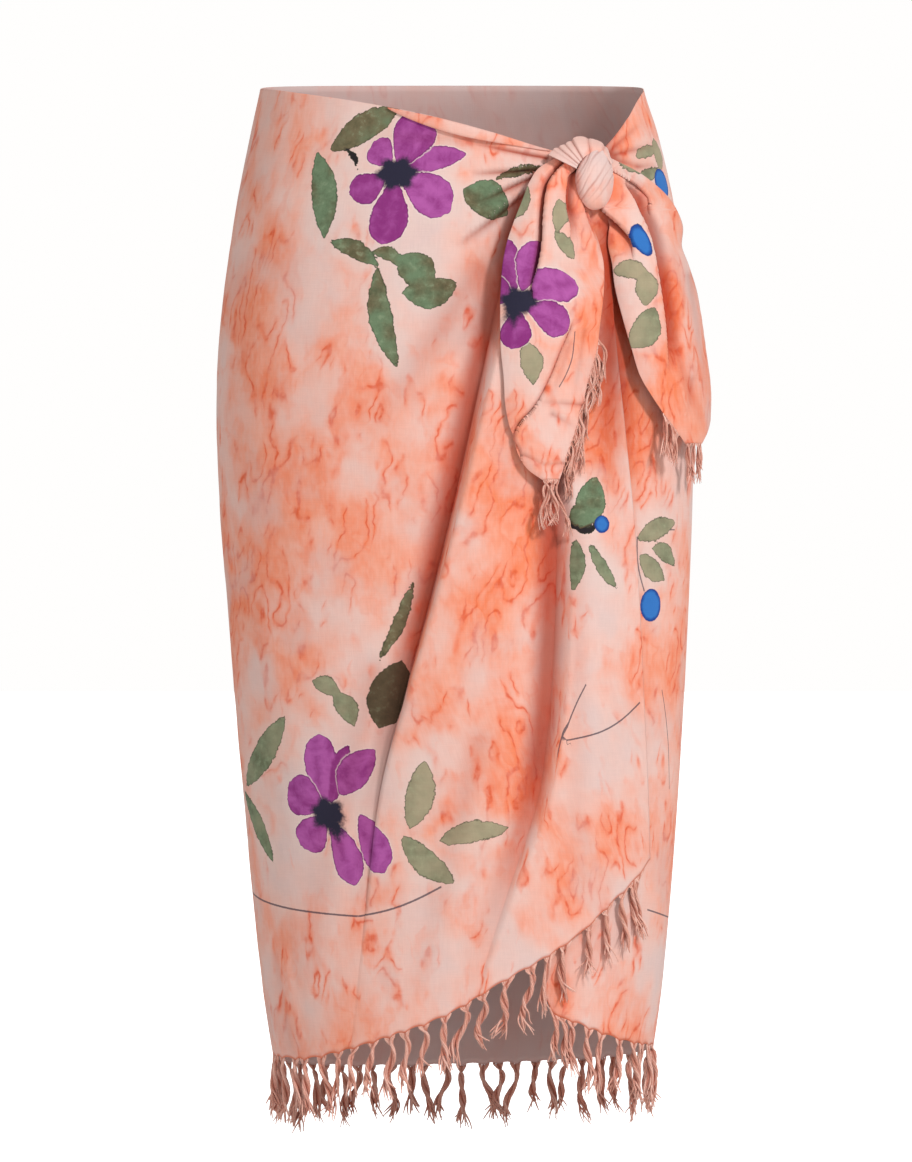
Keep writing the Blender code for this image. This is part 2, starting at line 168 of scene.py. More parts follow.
def grid_normals(points):
    """Unit normals of a grid of points, turned away from the middle of the garment."""
    normals = np.cross(np.gradient(points, axis=0), np.gradient(points, axis=1))
    normals /= np.maximum(np.linalg.norm(normals, axis=-1, keepdims=True), 1e-9)
    return normals if (normals * points * (1, 1, 0)).sum() > 0 else -normals


def mesh_object(name, node, vertices, faces, materials, fields, uv=None, face_slots=None):
    """Put points in millimetres, four-cornered faces, point fields and a flat layout into a mesh
    that stands for a node of the part."""
    mesh = bpy.data.meshes.new(name)
    mesh.vertices.add(len(vertices))
    mesh.vertices.foreach_set("co", (vertices * MM).astype(np.float32).ravel())
    mesh.loops.add(faces.size)
    mesh.loops.foreach_set("vertex_index", faces.astype(np.int32).ravel())
    mesh.polygons.add(len(faces))
    mesh.polygons.foreach_set("loop_start", np.arange(0, faces.size, faces.shape[1], dtype=np.int32))
    for material in materials:
        mesh.materials.append(material)
    if face_slots is not None:
        mesh.polygons.foreach_set("material_index", face_slots.astype(np.int32))
    mesh.update(calc_edges=True)
    for field, values in fields.items():
        layer = mesh.attributes.new(field, "FLOAT", "POINT")
        layer.data.foreach_set("value", np.asarray(values, dtype=np.float32).ravel())
    if uv is not None:
        layer = mesh.uv_layers.new(name="cloth")
        layer.data.foreach_set("uv", (uv[faces.ravel()] * MM).astype(np.float32).ravel())
    mesh.shade_smooth()
    mesh.set_sharp_from_angle(angle=math.radians(170))
    mesh.validate()
    thing = bpy.data.objects.new(name, mesh)
    bpy.context.scene.collection.objects.link(thing)
    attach(thing, "root")
    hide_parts(node)
    return thing


def sheet_faces(rows, columns):
    """Faces of a closed sheet: those of a grid of points, those of a second grid behind it, whose
    points are numbered after the first, and the rim between the two."""
    count = rows * columns
    index = np.arange(count).reshape(rows, columns)
    a, b, c, d = index[:-1, :-1], index[:-1, 1:], index[1:, 1:], index[1:, :-1]
    front = np.stack([a, d, c, b], axis=-1).reshape(-1, 4)
    edge = np.concatenate([index[0, :-1], index[:-1, -1], index[-1, :0:-1], index[:0:-1, 0]])
    following = np.roll(edge, -1)
    rim = np.stack([edge, following, following + count, edge + count], axis=-1)
    return front, front[:, ::-1] + count, rim


def cloth_sheet(name, node, inner, run, fields):
    """A closed sheet of cloth: a grid of points moved out to the right side, its wrong side
    behind it by the cloth's thickness, and a rim between the two all round. The grid halfway
    through the cloth is returned with it, for its fringe."""
    normals = grid_normals(inner)
    outer = inner + normals * WALL
    vertices = np.concatenate([outer.reshape(-1, 3), (outer - normals * CLOTH).reshape(-1, 3)])
    faces = sheet_faces(*run.shape)
    slots = np.repeat([0, 1, 0], [len(part) for part in faces])
    flat = np.stack([run, inner[..., 2]], axis=-1).reshape(-1, 2)
    doubled = {key: np.tile(values.ravel(), 2) for key, values in fields.items()}
    sheet = mesh_object(name, node, vertices, np.concatenate(faces),
                        [right_side, wrong_side], doubled, np.tile(flat, (2, 1)), slots)
    return sheet, outer - normals * CLOTH / 2


def blade(run, height, start, end, width, bend, taper, fullness):
    """Signed depth inside one petal, leaf or stem from its start to its end, and the signed
    distance from its middle line, in millimetres. The depth is the half width, width / 2 times
    sin(pi t^taper)^fullness at share t of the length, less the distance from the middle line."""
    length = math.hypot(end[0] - start[0], end[1] - start[1])
    cosine, sine = (end[0] - start[0]) / length, (end[1] - start[1]) / length
    along = ((run - start[0]) * cosine + (height - start[1]) * sine) / length
    inside = np.clip(along, 0, 1)
    off = (height - start[1]) * cosine - (run - start[0]) * sine - bend * np.sin(math.pi * inside)
    half = width / 2 * np.sin(math.pi * inside ** taper) ** fullness
    past = np.maximum(np.maximum(-along, along - 1), 0) * length
    return np.where(past > 0, -np.hypot(past, off), half - np.abs(off)), off


# A flower's petals run out from its middle, and a leaf or a stem runs from its base to its tip.
# Places are millimetres as seen from the front. A petal's tone goes from light at 0 to dark at 1.
# A leaf's goes from pale below 0 over green and olive to brown above 1, and is near black at 3.

PLAIN = {
    "petal_low": -FAR, "petal_top": -FAR, "leaf": -FAR, "stem": -FAR, "berry": -FAR, "heart": -FAR,
    "tone_low": 0.5, "tone_top": 0.5, "leaf_tone": 0.5, "stem_side": FAR, "dye": 0.0, "valley": 0.0,
    "hem": FAR,
}
SLIM_PETAL, BROAD_PETAL = ((0.95, 0.8), (1.6, 0.46))      # taper and fullness of a blade
LEAF_SHAPE, STEM_SHAPE = ((0.95, 0.72), (1.0, 0.12))
PETAL_BEND = 2.0          # how far a petal's middle line bows
STEM_BAND = 16.0          # width of the band in which a stem's side is known


def plain(shape):
    """Fields of cloth far from every motif and hem, evenly dyed and without shade."""
    return {key: np.full(shape, value) for key, value in PLAIN.items()}


def printed(run, height, to_run, flowers=(), leaves=(), stems=(), berries=(), hearts=()):
    """Fields of the printed motifs on a stretch of cloth: signed depth inside each kind of shape
    in millimetres, and the tone of the deepest one. to_run turns a place, as it is seen, into a
    run. Every second petal goes to the lower layer, so that neighbours overlap with an edge."""
    fields = plain(run.shape)

    def lay(kind, depth, extra, value):
        """Keep the deepest shape of a kind, and another value of that shape."""
        fields[extra] = np.where(depth > fields[kind], value, fields[extra])
        fields[kind] = np.maximum(fields[kind], depth)

    def ends(x0, z0, x1, z1):
        """Both ends of a shape, as runs and heights."""
        return (to_run(x0, z0), z0), (to_run(x1, z1), z1)

    for k, (x, z, angle, start, length, width, tone) in enumerate(flowers):
        middle = to_run(x, z)
        turn = math.radians(angle)
        base = (middle + start * math.cos(turn), z + start * math.sin(turn))
        tip = (middle + length * math.cos(turn), z + length * math.sin(turn))
        shape = SLIM_PETAL if width < 0.4 * length else BROAD_PETAL
        depth, off = blade(run, height, base, tip, width, PETAL_BEND, *shape)
        layer = ("low", "top")[k % 2]
        lay("petal_" + layer, depth, "tone_" + layer, tone + 0.12 * np.sin(0.45 * off + k))
    for x0, z0, x1, z1, width, bend, tone in leaves:
        depth, _ = blade(run, height, *ends(x0, z0, x1, z1), width, bend, *LEAF_SHAPE)
        lay("leaf", depth, "leaf_tone", tone)
    for x0, z0, x1, z1, width, bend in stems:
        depth, off = blade(run, height, *ends(x0, z0, x1, z1), STEM_BAND, bend, *STEM_SHAPE)
        lay("stem", depth, "stem_side", np.clip(off / width * 2, -20, 20))
    for kind, rounds in (("berry", berries), ("heart", hearts)):
        for x, z, width, tall in rounds:
            across, up = (run - to_run(x, z)) / width * 2, (height - z) / tall * 2
            spikes = 1 + (0.14 * np.sin(6 * np.arctan2(up, across) + x) if kind == "heart" else 0)
            fields[kind] = np.maximum(fields[kind], (1 - np.hypot(across, up) / spikes) * width / 2)
    return fields


def clouds(x, height, rows):
    """How orange the dye is: the sum of soft round patches, from pale (-) to orange (+)."""
    dye = np.zeros(x.shape)
    for x0, z0, wide, tall, strength in rows:
        dye += strength * bell(x - x0, wide) * bell(height - z0, tall)
    return dye


def linear(code):
    """Turn an sRGB hex colour into the linear colour that a shader takes."""
    parts = [int(code[i:i + 2], 16) / 255 for i in (1, 3, 5)]
    return (*[c / 12.92 if c <= 0.04045 else ((c + 0.055) / 1.055) ** 2.4 for c in parts], 1)


def add(tree, kind, inputs=None, out=0, **settings):
    """Add a shader node with its settings, give each input a value or another node's output, and
    return one of its own outputs."""
    made = tree.nodes.new("ShaderNode" + kind)
    for key, value in settings.items():
        setattr(made, key, value)
    for key, value in (inputs or {}).items():
        if isinstance(value, bpy.types.NodeSocket):
            tree.links.new(value, made.inputs[key])
        else:
            made.inputs[key].default_value = value
    return made.outputs[out]


def new_material(name):
    """An empty material, with its nodes and its shader."""
    material = bpy.data.materials.new(name)
    material.use_nodes = True
    return material, material.node_tree, material.node_tree.nodes["Principled BSDF"]


# The dye, from where it is thin to where it is strong: lavender, pink, salmon, peach, orange, red.

DYE = ((0.28, "#DFC2BC"), (0.42, "#E8BFB4"), (0.55, "#EDB2A1"), (0.70, "#F0A48B"), (0.84, "#EE865E"),
       (1.0, "#DE5C32"))


def printed_rayon(name, show):
    """Plain woven rayon with a marbled dye and a soft-edged hand print.

    Show is how much of the colour comes through to this side of the cloth. Rayon has a low,
    silky sheen and no gloss. The dye pooled in crumpled cloth: it lies in broad clouds, in
    patches 15 to 34 mm across and taller than wide, and in fine leaning veins where it is
    strong. The threads are 0.35 mm apart, drawn at 0.9 mm so that the weave shows.
    """
    material, tree, shader = new_material(name)
    flat = add(tree, "UVMap", uv_map="cloth")
    field = {key: add(tree, "Attribute", out="Fac", attribute_name=key) for key in PLAIN}

    def noise(size_mm, detail, vector=flat, tall=1.0, wide=1.0, rough=0.5):
        """Noise with cells of a real size in millimetres, drawn out to be tall or wide."""
        scale = (1 / wide, 1 / tall, 1)
        place = add(tree, "Mapping", {"Vector": vector, "Scale": scale})
        return add(tree, "TexNoise", {"Vector": place, "Scale": 1000 / size_mm, "Detail": detail,
                                      "Roughness": rough})

    def mix(factor, first, second, blend="MIX"):
        """Mix two colours, each the output of a node or an sRGB hex code."""
        first, second = (linear(c) if isinstance(c, str) else c for c in (first, second))
        return add(tree, "Mix", {0: factor, 6: first, 7: second}, 2, data_type="RGBA", blend_type=blend)

    def work(operation, first, second=0.0, third=0.0):
        """One step of arithmetic."""
        return add(tree, "Math", {0: first, 1: second, 2: third}, operation=operation)

    def plus(first, second, share=1.0):
        """The first value plus a share of the second."""
        return work("MULTIPLY_ADD", second, share, first)

    def centred(value, reach):
        """Noise spread to both sides of zero, by the reach at most."""
        return work("MULTIPLY_ADD", value, 2 * reach, -reach)

    def ease(value, low, high, to_low=0.0, to_high=1.0):
        """Ease from one value to another as the input goes from low to high."""
        return add(tree, "MapRange", {0: value, 1: low, 2: high, 3: to_low, 4: to_high},
                   interpolation_type="SMOOTHSTEP")

    def layers(colour, *rows):
        """Lay colours over one another, each as strongly as its value eases from low to high."""
        for code, *easing in rows:
            colour = mix(ease(*easing), colour, code)
        return colour

    def warped(size_mm, reach_mm):
        """The flat layout pushed about by coarser noise, by up to half the reach each way."""
        push = add(tree, "TexNoise", {"Vector": flat, "Scale": 1000 / size_mm, "Detail": 2}, "Color")
        even = add(tree, "VectorMath", {0: push, 1: (0.5, 0.5, 0.5)}, operation="SUBTRACT")
        return add(tree, "VectorMath", {0: even, 1: (reach_mm * MM, reach_mm * MM, 0), 2: flat},
                   operation="MULTIPLY_ADD")

    wash = plus(noise(60, 3, flat, 1.2), field["dye"], 0.22)
    base = add(tree, "ValToRGB", {0: wash})
    stops = base.node.color_ramp.elements
    for stop, (place, code) in ((stops[0], DYE[0]), (stops[1], DYE[-1])):
        stop.position = place
        stop.color = linear(code)
    for place, code in DYE[1:-1]:
        stops.new(place).color = linear(code)
    past = work("SUBTRACT", plus(noise(15, 2.0, warped(22, 30), 2.2), wash, 0.40), 0.84)
    colour = layers(base,
                    ("#F08A66", plus(noise(34, 3, warped(40, 40), 1.6), wash, 0.7), 0.82, 1.12, 0, 0.50),
                    ("#EF8059", past, -0.09, 0.02, 0, 0.24),
                    ("#F2B29C", past, 0.02, 0.10, 0, 0.35))
    leaning = add(tree, "Mapping", {"Vector": warped(13, 9), "Rotation": (0, 0, 0.25)})
    vein = work("PINGPONG", noise(25, 1.4, leaning, 2.8), 0.07)
    often = ease(plus(noise(24, 2, warped(42, 10), 2.0), wash, 0.60), 0.80, 0.93)
    fainter = ease(noise(9, 2), 0.36, 0.58, 0.15, 1)
    colour = mix(work("MULTIPLY", ease(vein, 0.0, 0.06, 0.62, 0.16), often), colour, "#F07648")
    core = work("MULTIPLY", work("MULTIPLY", ease(vein, 0.003, 0.021, 0.80, 0), often), fainter)
    colour = mix(core, colour, "#DC5832")

    coarse = centred(noise(15, 2), 3.5)
    fine = centred(noise(2.0, 3), 1.5)
    ragged = plus(fine, centred(noise(5.5, 2), 2.3))
    nearest = work("MAXIMUM", work("MAXIMUM", field["petal_low"], field["petal_top"]), field["leaf"])
    colour = layers(colour,
                    ("#F1D3C9", noise(3.4, 3, flat, 3.0), 0.38, 0.66, 0, 0.10),
                    ("#DABFB9", noise(46, 4, flat, 1.3), 0.48, 0.70, 0, 0.50),
                    ("#DF6E48", field["hem"], 0.3, 2.6, 0.75, 0),
                    ("#E2C9C1", plus(nearest, coarse, 2.6), -14, -1, 0, 0.52))

    line = ease(work("ABSOLUTE", plus(field["stem_side"], fine, 0.25)), 0.55, 1.1, 0.85, 0)
    colour = mix(work("MULTIPLY", line, ease(field["stem"], 1.0, 3.5)), colour, "#4F4650")

    mottle = noise(7, 4, rough=0.65)
    flow = centred(noise(24, 3), 1.5)
    tone = field["leaf_tone"]
    leaf_in = plus(plus(field["leaf"], coarse, 0.30), ragged, 0.80)
    olive = layers("#6C8163",
                   ("#74694E", plus(tone, flow), 0, 1),
                   ("#42462F", plus(mottle, flow, 0.2), 0.40, 0.75, 0, 0.55),
                   ("#94A282", mottle, 0.30, 0.46, 0.45, 0),
                   ("#B8A488", plus(tone, flow, 0.25), -1, 0, 0.9, 0),
                   ("#45382A", tone, 1, 1.5, 0, 0.6),
                   ("#211C22", tone, 2, 2.6, 0, 0.95),
                   ("#363A2B", leaf_in, 0.1, 1.2, 0.70, 0))
    colour = mix(ease(leaf_in, -0.2, 0.2), colour, olive)

    streak = centred(noise(11, 4, warped(20, 20), rough=0.65), 0.8)
    for layer in ("low", "top"):
        petal_in = plus(plus(field["petal_" + layer], coarse, 0.45), ragged, 0.55)
        purple = mix(ease(plus(field["tone_" + layer], streak), 0.0, 1.0), "#B25AA4", "#8A3079")
        purple = mix(ease(petal_in, 0.1, 1.4, 0.72, 0), purple, "#5C1C54")
        colour = mix(ease(petal_in, -1.5, -0.4, 0, 0.6), colour, "#E9D3CF")
        colour = mix(ease(petal_in, -0.2, 0.2), colour, purple)
    heart_in = plus(plus(field["heart"], coarse, 0.8), fine, 1.8)
    colour = mix(ease(heart_in, -4.6, 2.2), colour, "#29273A")

    berry_in = plus(field["berry"], fine, 0.4)
    blue = mix(ease(plus(berry_in, centred(mottle, 2.0)), 0.2, 3.4), "#1B4390", "#3273BE")
    blue = mix(ease(berry_in, 0.2, 1.0, 0.6, 0), blue, "#163070")
    colour = mix(ease(berry_in, -0.3, 0.3), colour, blue)
    # Painted shade: the colour is darkened towards a deep orange-brown where the shade field is high, in
    # folds, creases, tucks and recesses, and beside and between the free corners.
    colour = mix(work("MULTIPLY", field["valley"], 0.88), colour, "#B8654D", "MULTIPLY")

    weave = work("ADD", noise(0.9, 1, tall=1 / 0.06), noise(0.9, 1, wide=1 / 0.06))
    grain = ease(weave, 0.7, 1.3, 0.97, 1.012)
    grey = add(tree, "CombineColor", {0: grain, 1: grain, 2: grain})
    colour = mix(1.0, colour, grey, "MULTIPLY")
    if show < 1:
        colour = mix(1 - show, colour, "#D0B9B6")
    bump = add(tree, "Bump", {"Height": weave, "Strength": 0.12, "Distance": 0.0006})
    tree.links.new(colour, shader.inputs["Base Color"])
    tree.links.new(bump, shader.inputs["Normal"])
    shader.inputs["Roughness"].default_value = 0.82
    shader.inputs["IOR"].default_value = 1.46
    shader.inputs["Specular IOR Level"].default_value = 0.2
    shader.inputs["Sheen Weight"].default_value = 0.10
    shader.inputs["Sheen Roughness"].default_value = 0.45
    return material


right_side = printed_rayon("printed rayon, right side", 1.0)
wrong_side = printed_rayon("printed rayon, wrong side", 0.26)

rows, columns = (150, 150)
down = np.linspace(0, 1, rows)[:, None]
angle = np.linspace(SEAM_ANGLE, math.pi - SEAM_ANGLE, columns)[None, :] + 0 * down
middle = np.sin(angle)
top = 8.0 * middle ** 0.7
hem = -765 - 4 * (1 - np.cos(angle)) - 17 * middle ** 0.7
run = cloth_run(angle)
back_tassels, height = drawn_up(run, top + (hem - top) * down, down, 51)
wave = np.sin(5 * angle + 0.7) + 0.5 * np.sin(9 * angle + 2 * down)
lift = 2.2 * wave * middle * down ** 1.3 + rumple(run, height, 3) * ramp(middle, 0, 1 / 3)
BACK_DYE = [
    (-120, -200, 60, 120, 0.5), (90, -330, 80, 140, 0.5), (-30, -480, 90, 110, 0.4),
    (130, -600, 60, 140, 0.4), (-150, -640, 60, 120, 0.3), (20, -90, 120, 70, 0.2),
    (30, -720, 160, 50, -0.4),
]


def back_run(x, z):
    """Run of a place on the back: at any height, x is its distance from the back's middle line."""
    return cloth_run(math.pi / 2) - x


BACK_FLOWERS = [
    (-64, -190, 90 + 60 * k + 8 * (k % 2), 6, 50 + 8 * (k % 3), 28, 0.2 + 0.15 * k) for k in range(6)
] + [
    (70, -520, 60 * k + 12, 6, 54 - 7 * (k % 2), 27, 0.8 - 0.12 * k) for k in range(6)
]
BACK_LEAVES = [
    (-20, -132, 26, -100, 20, 3, 0.2), (-110, -250, -128, -318, 20, 2, 0.4),
    (-20, -250, 22, -292, 22, -3, 0.6), (124, -470, 150, -412, 20, 2, 0.2),
    (20, -470, -14, -420, 20, 3, 0.7), (28, -590, -8, -640, 22, -3, 0.3),
    (-110, -520, -132, -576, 18, 2, 0.6),
    (-96, -505, -60, -470, 18, -3, 0.2), (110, -170, 132, -112, 20, 2, 0.5),
]
BACK_STEMS = [
    (20, -300, 60, -420, 1.6, 12), (-128, -330, -110, -500, 1.6, -10), (110, -250, 150, -400, 1.6, 14),
]
fields = printed(run, height, back_run, flowers=BACK_FLOWERS, leaves=BACK_LEAVES, stems=BACK_STEMS,
                 berries=[(-10, -352, 18, 24), (110, -265, 18, 24), (-70, -600, 16, 20)],
                 hearts=[(-64, -190, 26, 18), (70, -520, 26, 18)])
fields.update(dye=clouds(cloth_run(math.pi / 2) - run, height, BACK_DYE), hem=height - height[-1])
back_hem_run = run[-1]
inner = form_point(angle, height, lift)
back_wrap, back_wall = cloth_sheet("back_wrap_cloth", "back_wrap", inner, run, fields)

# The under layer: the same cloth carried on round the knot side to the front, where it ends
# behind the over layer. Its top corner is gathered up into the knot.

UNDER_LAYER_EDGE = 73.0   # x of the under layer's hidden end, behind the over layer
PASSES = 12               # a grid's places and heights depend on each other, and settle in so many
UNDER_TOP = table("x height", [(60, -62), (100, -60), (121, -50), (138, -27), (147, -10), (153, 0)])
UNDER_HEM = table("x height", [
    (60, -700), (74, -722), (79, -733), (97, -744), (120, -754), (140, -761), (158, -765),
])
GATHERS = table("x0 z0 x1 z1 depth width", [
    (121, -50, 138, -26, 2.2, 2.4),
    (122, -56, 146, -32, 2.4, 2.6),
    (126, -56, 160, -46, 2.4, 2.6),
    (125, -58, 148, -64, 2.6, 2.6),
    (148, -64, 166, -62, 1.4, 2.6),
])
# The strong patch at x 130 is painted shade: it deepens and reddens the under layer beside the over layer's
# free edge, where the right corner shades it.
UNDER_DYE = [
    (165, -130, 30, 60, 0.1), (170, -420, 30, 70, 0.35), (180, -560, 40, 90, 0.4), (150, -690, 60, 50, -0.2),
    (130, -240, 22, 120, 2.2), (80, -730, 16, 30, 1.4),
]


def front_angle(x, height, lift=0.0):
    """Angle on the front half of the form, -180 degrees to 0, at which the given x lies."""
    left = smooth(SECTIONS, "height", "left", height)
    right = smooth(SECTIONS, "height", "right", height)
    share = (x - (left + right) / 2) / ((right - left) / 2 + lift)
    return -np.arccos(np.clip(share, -1, 1))


def front_run(x, z):
    """Run round the form of a place seen from the front."""
    return float(cloth_run(front_angle(np.array(float(x)), np.array(float(z)))))


def troughs(x, height, rows):
    """Depth of soft troughs at a place: a bell across each line, fading towards its far end."""
    depth = np.zeros_like(x)
    for x0, z0, x1, z1, deep, width in zip(*rows.values()):
        length = math.hypot(x1 - x0, z1 - z0)
        along = ((x - x0) * (x1 - x0) + (height - z0) * (z1 - z0)) / length ** 2
        nearest = np.clip(along, 0, 1)
        off = np.hypot(x - x0 - nearest * (x1 - x0), height - z0 - nearest * (z1 - z0))
        depth += deep * bell(off, width) * (1 - 0.8 * nearest)
    return depth


rows, columns = (250, 120)
down = 0.45 * np.linspace(0, 1, rows)[:, None] + 0.55 * np.linspace(0, 1, rows)[:, None] ** 2
share = np.linspace(0, 1, columns)[None, :]
height = -60 - 700 * down + 0 * share
for _ in range(PASSES):
    start = front_angle(UNDER_LAYER_EDGE + 0 * height, height)
    angle = start + (-SEAM_ANGLE - start) * share
    x = form_point(angle, height, 0)[..., 0]
    top = smooth(UNDER_TOP, "x", "height", x)
    height = top + (smooth(UNDER_HEM, "x", "height", x) - top) * down
run = cloth_run(angle)
under_tassels, height = drawn_up(run, height, down, 52)
gathered = troughs(x, height, GATHERS) * ramp(x, 119, 123) * ramp(x, 170, 158)
uncovered = ramp(x, 182, 172) * ramp(x, 150, 162)
lift = 0.8 * rumple(run, height, 11) * uncovered - gathered - ramp(x, 90, 80)
UNDER_LEAVES = [
    (145, -56, 162, -49, 10, 2, -0.6), (159, -40, 165, -66, 20, 3, -0.6), (147, -71, 163, -64, 9, -2, -0.5),
    (146, -360, 176, -346, 17, 2, -0.55), (148, -372, 168, -392, 17, -2, -0.5),
    (158, -366, 176, -380, 14, 3, -0.45),
]
UNDER_STEMS = [
    (146, -358, 152, -402, 1.4, -3), (150, -358, 176, -352, 1.2, 2), (154, -654, 174, -662, 1.5, -1),
    (166, -480, 172, -560, 0.9, 2),
]
fields = printed(run, height, front_run, leaves=UNDER_LEAVES, stems=UNDER_STEMS,
                 berries=[(157, -412, 23, 26), (166, -76, 26, 23)])
# Painted shade beside the over layer's free edge under the right corner, and in the gathers under the knot.
beside_pleat = bell(x - 130, 14) * ramp(height, -90, -110) * ramp(height, -360, -240)
fields.update(dye=clouds(x, height, UNDER_DYE), hem=height - height[-1],
              valley=np.maximum(0.9 * beside_pleat, np.clip(0.40 * gathered, 0, 0.9)))
under_hem_run = run[-1]
inner = form_point(angle, height, lift)
under, under_wall = cloth_sheet("under_layer_cloth", "front_under", inner, run, fields)

# The over layer: the last stretch, drawn across the front to the knot. Two pleats and its free
# edge run down from the knot, and its hem rises to the knot side because that corner is tied.

LAYER_LIFT = 2.3          # how far the over layer stands off the form where it covers the under layer
OVER_TOP = table("x height", [
    (-152, 0), (-140, -2), (-118, -6), (-88, -11), (-56, -17), (-18, -25), (30, -38), (77, -53), (100, -58),
    (122, -58),
])
OVER_HEM = table("x height", [
    (-141, -773), (-114, -774), (-86, -767), (-46, -754), (-5, -738), (43, -709),
    (75, -690), (101, -671), (123, -649), (143, -629), (153, -614),
])
FIRST_PLEAT = table("height x lift", [
    (-40, 84, 0), (-64, 72, 2), (-90, 58, 6), (-168, 39, 11), (-232, 25, 14), (-344, 0, 14),
    (-408, -16, 12), (-480, -36, 9), (-548, -54, 4), (-640, -66, 1), (-790, -82, 0),
])
SECOND_PLEAT = table("height x lift", [
    (-40, 92, 0), (-64, 90, 2), (-110, 86, 5), (-168, 84, 8), (-280, 83, 10), (-344, 83, 13),
    (-459, 80, 15), (-519, 75, 14), (-562, 69, 10), (-642, 44, 4), (-700, 26, 1), (-790, 10, 0),
])
FREE_EDGE = table("height x lift", [
    (-40, 122, 0), (-64, 121, 0), (-168, 124, 0), (-272, 134, 0), (-344, 141, 0),
    (-416, 145.6, 0), (-490, 149, 0), (-557, 152, 0), (-614, 153.5, 0), (-790, 154, 0),
])
STRETCHES = table("columns at_start crown dip", [(84, 0, 5, 6), (54, 1, 3, 4), (46, 1, 1, 0)])
DRAWN_FOLDS = table("x0 z0 x1 z1 depth width", [
    (63, -104, 6, -212, 4.2, 8.0),
    (20, -150, -60, -270, 2.0, 13.0),
    (30, -46, -70, -40, 1.2, 6.0),
    (88, -340, 96, -640, 1.2, 9.0),
    (-60, -470, -120, -700, 1.4, 14.0),
    (20, -520, -30, -720, 1.2, 10.0),
    (-138, -690, -124, -770, 1.8, 4.0),
    (-132, -690, -117, -770, -1.6, 4.0),
])
LAPPING_FOLDS = table("x0 z0 x1 z1 tall wide", [
    (74, -58, 8, -44, 1.8, 4.0),
    (72, -66, 14, -70, 4.4, 5.5),
    (70, -68.5, 12, -96, 5.0, 6.5),
    (66, -78, 2, -128, 5.0, 7.5),
])


def lapping(x, height, rows):
    """Lift and shade of folds that lap over the cloth below them: each swells above its line,
    drops steeply at it, stays low for a width below it, and dies out towards its far end."""
    lift, shade = np.zeros_like(x), np.zeros_like(x)
    for x0, z0, x1, z1, tall, wide in zip(*rows.values()):
        length = math.hypot(x1 - x0, z1 - z0)
        along = ((x - x0) * (x1 - x0) + (height - z0) * (z1 - z0)) / length ** 2
        above = ((x - x0) * (z1 - z0) - (height - z0) * (x1 - x0)) / length
        there = ramp(along, -0.05, 0.03) * ramp(along, 1, 0) ** 0.7
        drop = ramp(above, -2, 2)
        swell = (drop * 1.9 - 0.9) * bell(above, wide)
        lift += there * tall * swell
        shade = np.maximum(shade, 2.0 * there * (1 - drop) * bell(above, wide / 1.3))
    return lift, shade


# The two patches at x 114 are painted shade: they deepen and redden the cloth in the recess between the free
# corners, where the corners shade it.
OVER_DYE = [
    (-140, -130, 22, 60, 0.9), (-105, -60, 26, 30, 0.5), (-60, -110, 60, 50, -0.8),
    (-110, -300, 60, 90, 0.6), (-70, -360, 50, 60, 0.5), (-150, -420, 30, 90, 0.6),
    (-100, -560, 60, 60, -0.5), (-90, -700, 80, 50, -0.1), (10, -690, 70, 50, -0.2),
    (20, -420, 40, 110, 0.9), (50, -330, 26, 80, 0.9), (60, -540, 26, 60, 0.7),
    (10, -560, 30, 50, 0.3), (110, -470, 26, 60, -0.7), (104, -400, 16, 50, -0.7), (125, -560, 26, 60, 0.2),
    (96, -620, 40, 30, 0.3), (114, -190, 13, 120, 2.6), (114, -330, 10, 40, 0.8),
]
OVER_FLOWERS = [
    (-44, -69, 128, 6, 30, 25, 0.45), (-44, -69, 60, 4, 50, 36, 0.6), (-44, -69, 13, 8, 60, 19, 0.45),
    (-44, -69, -36, 6, 54, 33, 0.35), (-44, -69, -97, 6, 58, 30, 0.8), (-44, -69, 207, 8, 40, 25, 0.7),
    (-97, -576, 92, 6, 62, 28, 0.3), (-97, -576, 146, 4, 40, 33, 0.5), (-97, -576, 225, 4, 37, 30, 0.4),
    (-97, -576, -70, 6, 60, 25, 0.3), (-75, -573, -66, 4, 54, 29, 0.35), (-97, -576, 50, 18, 66, 26, 0.5),
    (-97, -576, 68, 8, 58, 20, 0.8),
]
OVER_LEAVES = [
    (-95, -52, -41, -19, 24, 2, 0.85), (-105, -54, -97, -122, 22, 4, 0.25),
    (-92, -124, -56, -144, 14, 3, 0.4), (-60, -132, -36, -142, 11, 2, 0.7),
    (-42, -137, -14, -162, 26, 3, 0.4), (-38, -166, 4, -158, 24, -4, 0.35),
    (-57, -146, -42, -224, 17, -4, 0.5), (9, -84, 44, -104, 30, 3, 0.3), (34, -76, 70, -66, 9, 2, 0.8),
    (-160, -556, -127, -499, 22, -4, -0.35), (-162, -560, -139, -616, 17, 4, -0.25),
    (-33, -588, -20, -534, 22, -2, -0.65), (-39, -594, 3, -631, 21, -4, -0.5),
    (-10, -599, 44, -588, 17, 3, -0.65), (-59, -508, -40, -456, 38, -3, 1.5),
    (-107, -472, -86, -482, 15, 2, -0.5), (-90, -480, -76, -507, 17, 2, -0.45),
    (-57, -456, -31, -392, 9, -3, 0.9), (90, -360, 88, -400, 13, 2, -0.3),
    (101, -364, 125, -399, 11, -2, -0.3), (108, -311, 90, -350, 26, 4, 0.2),
    (94, -335, 86, -345, 12, 1, 0.1), (83, -345, 112, -343, 6, -9, 3.0), (-85, -50, -73, -68, 5, 3, 3.0),
]
OVER_STEMS = [
    (-157, -641, -74, -658, 1.8, -3), (-74, -658, -8, -634, 1.8, -4), (78, -519, 145, -489, 1.5, -6),
    (98, -474, 71, -556, 1.3, -4), (88, -372, 90, -362, 1.4, 0),
]
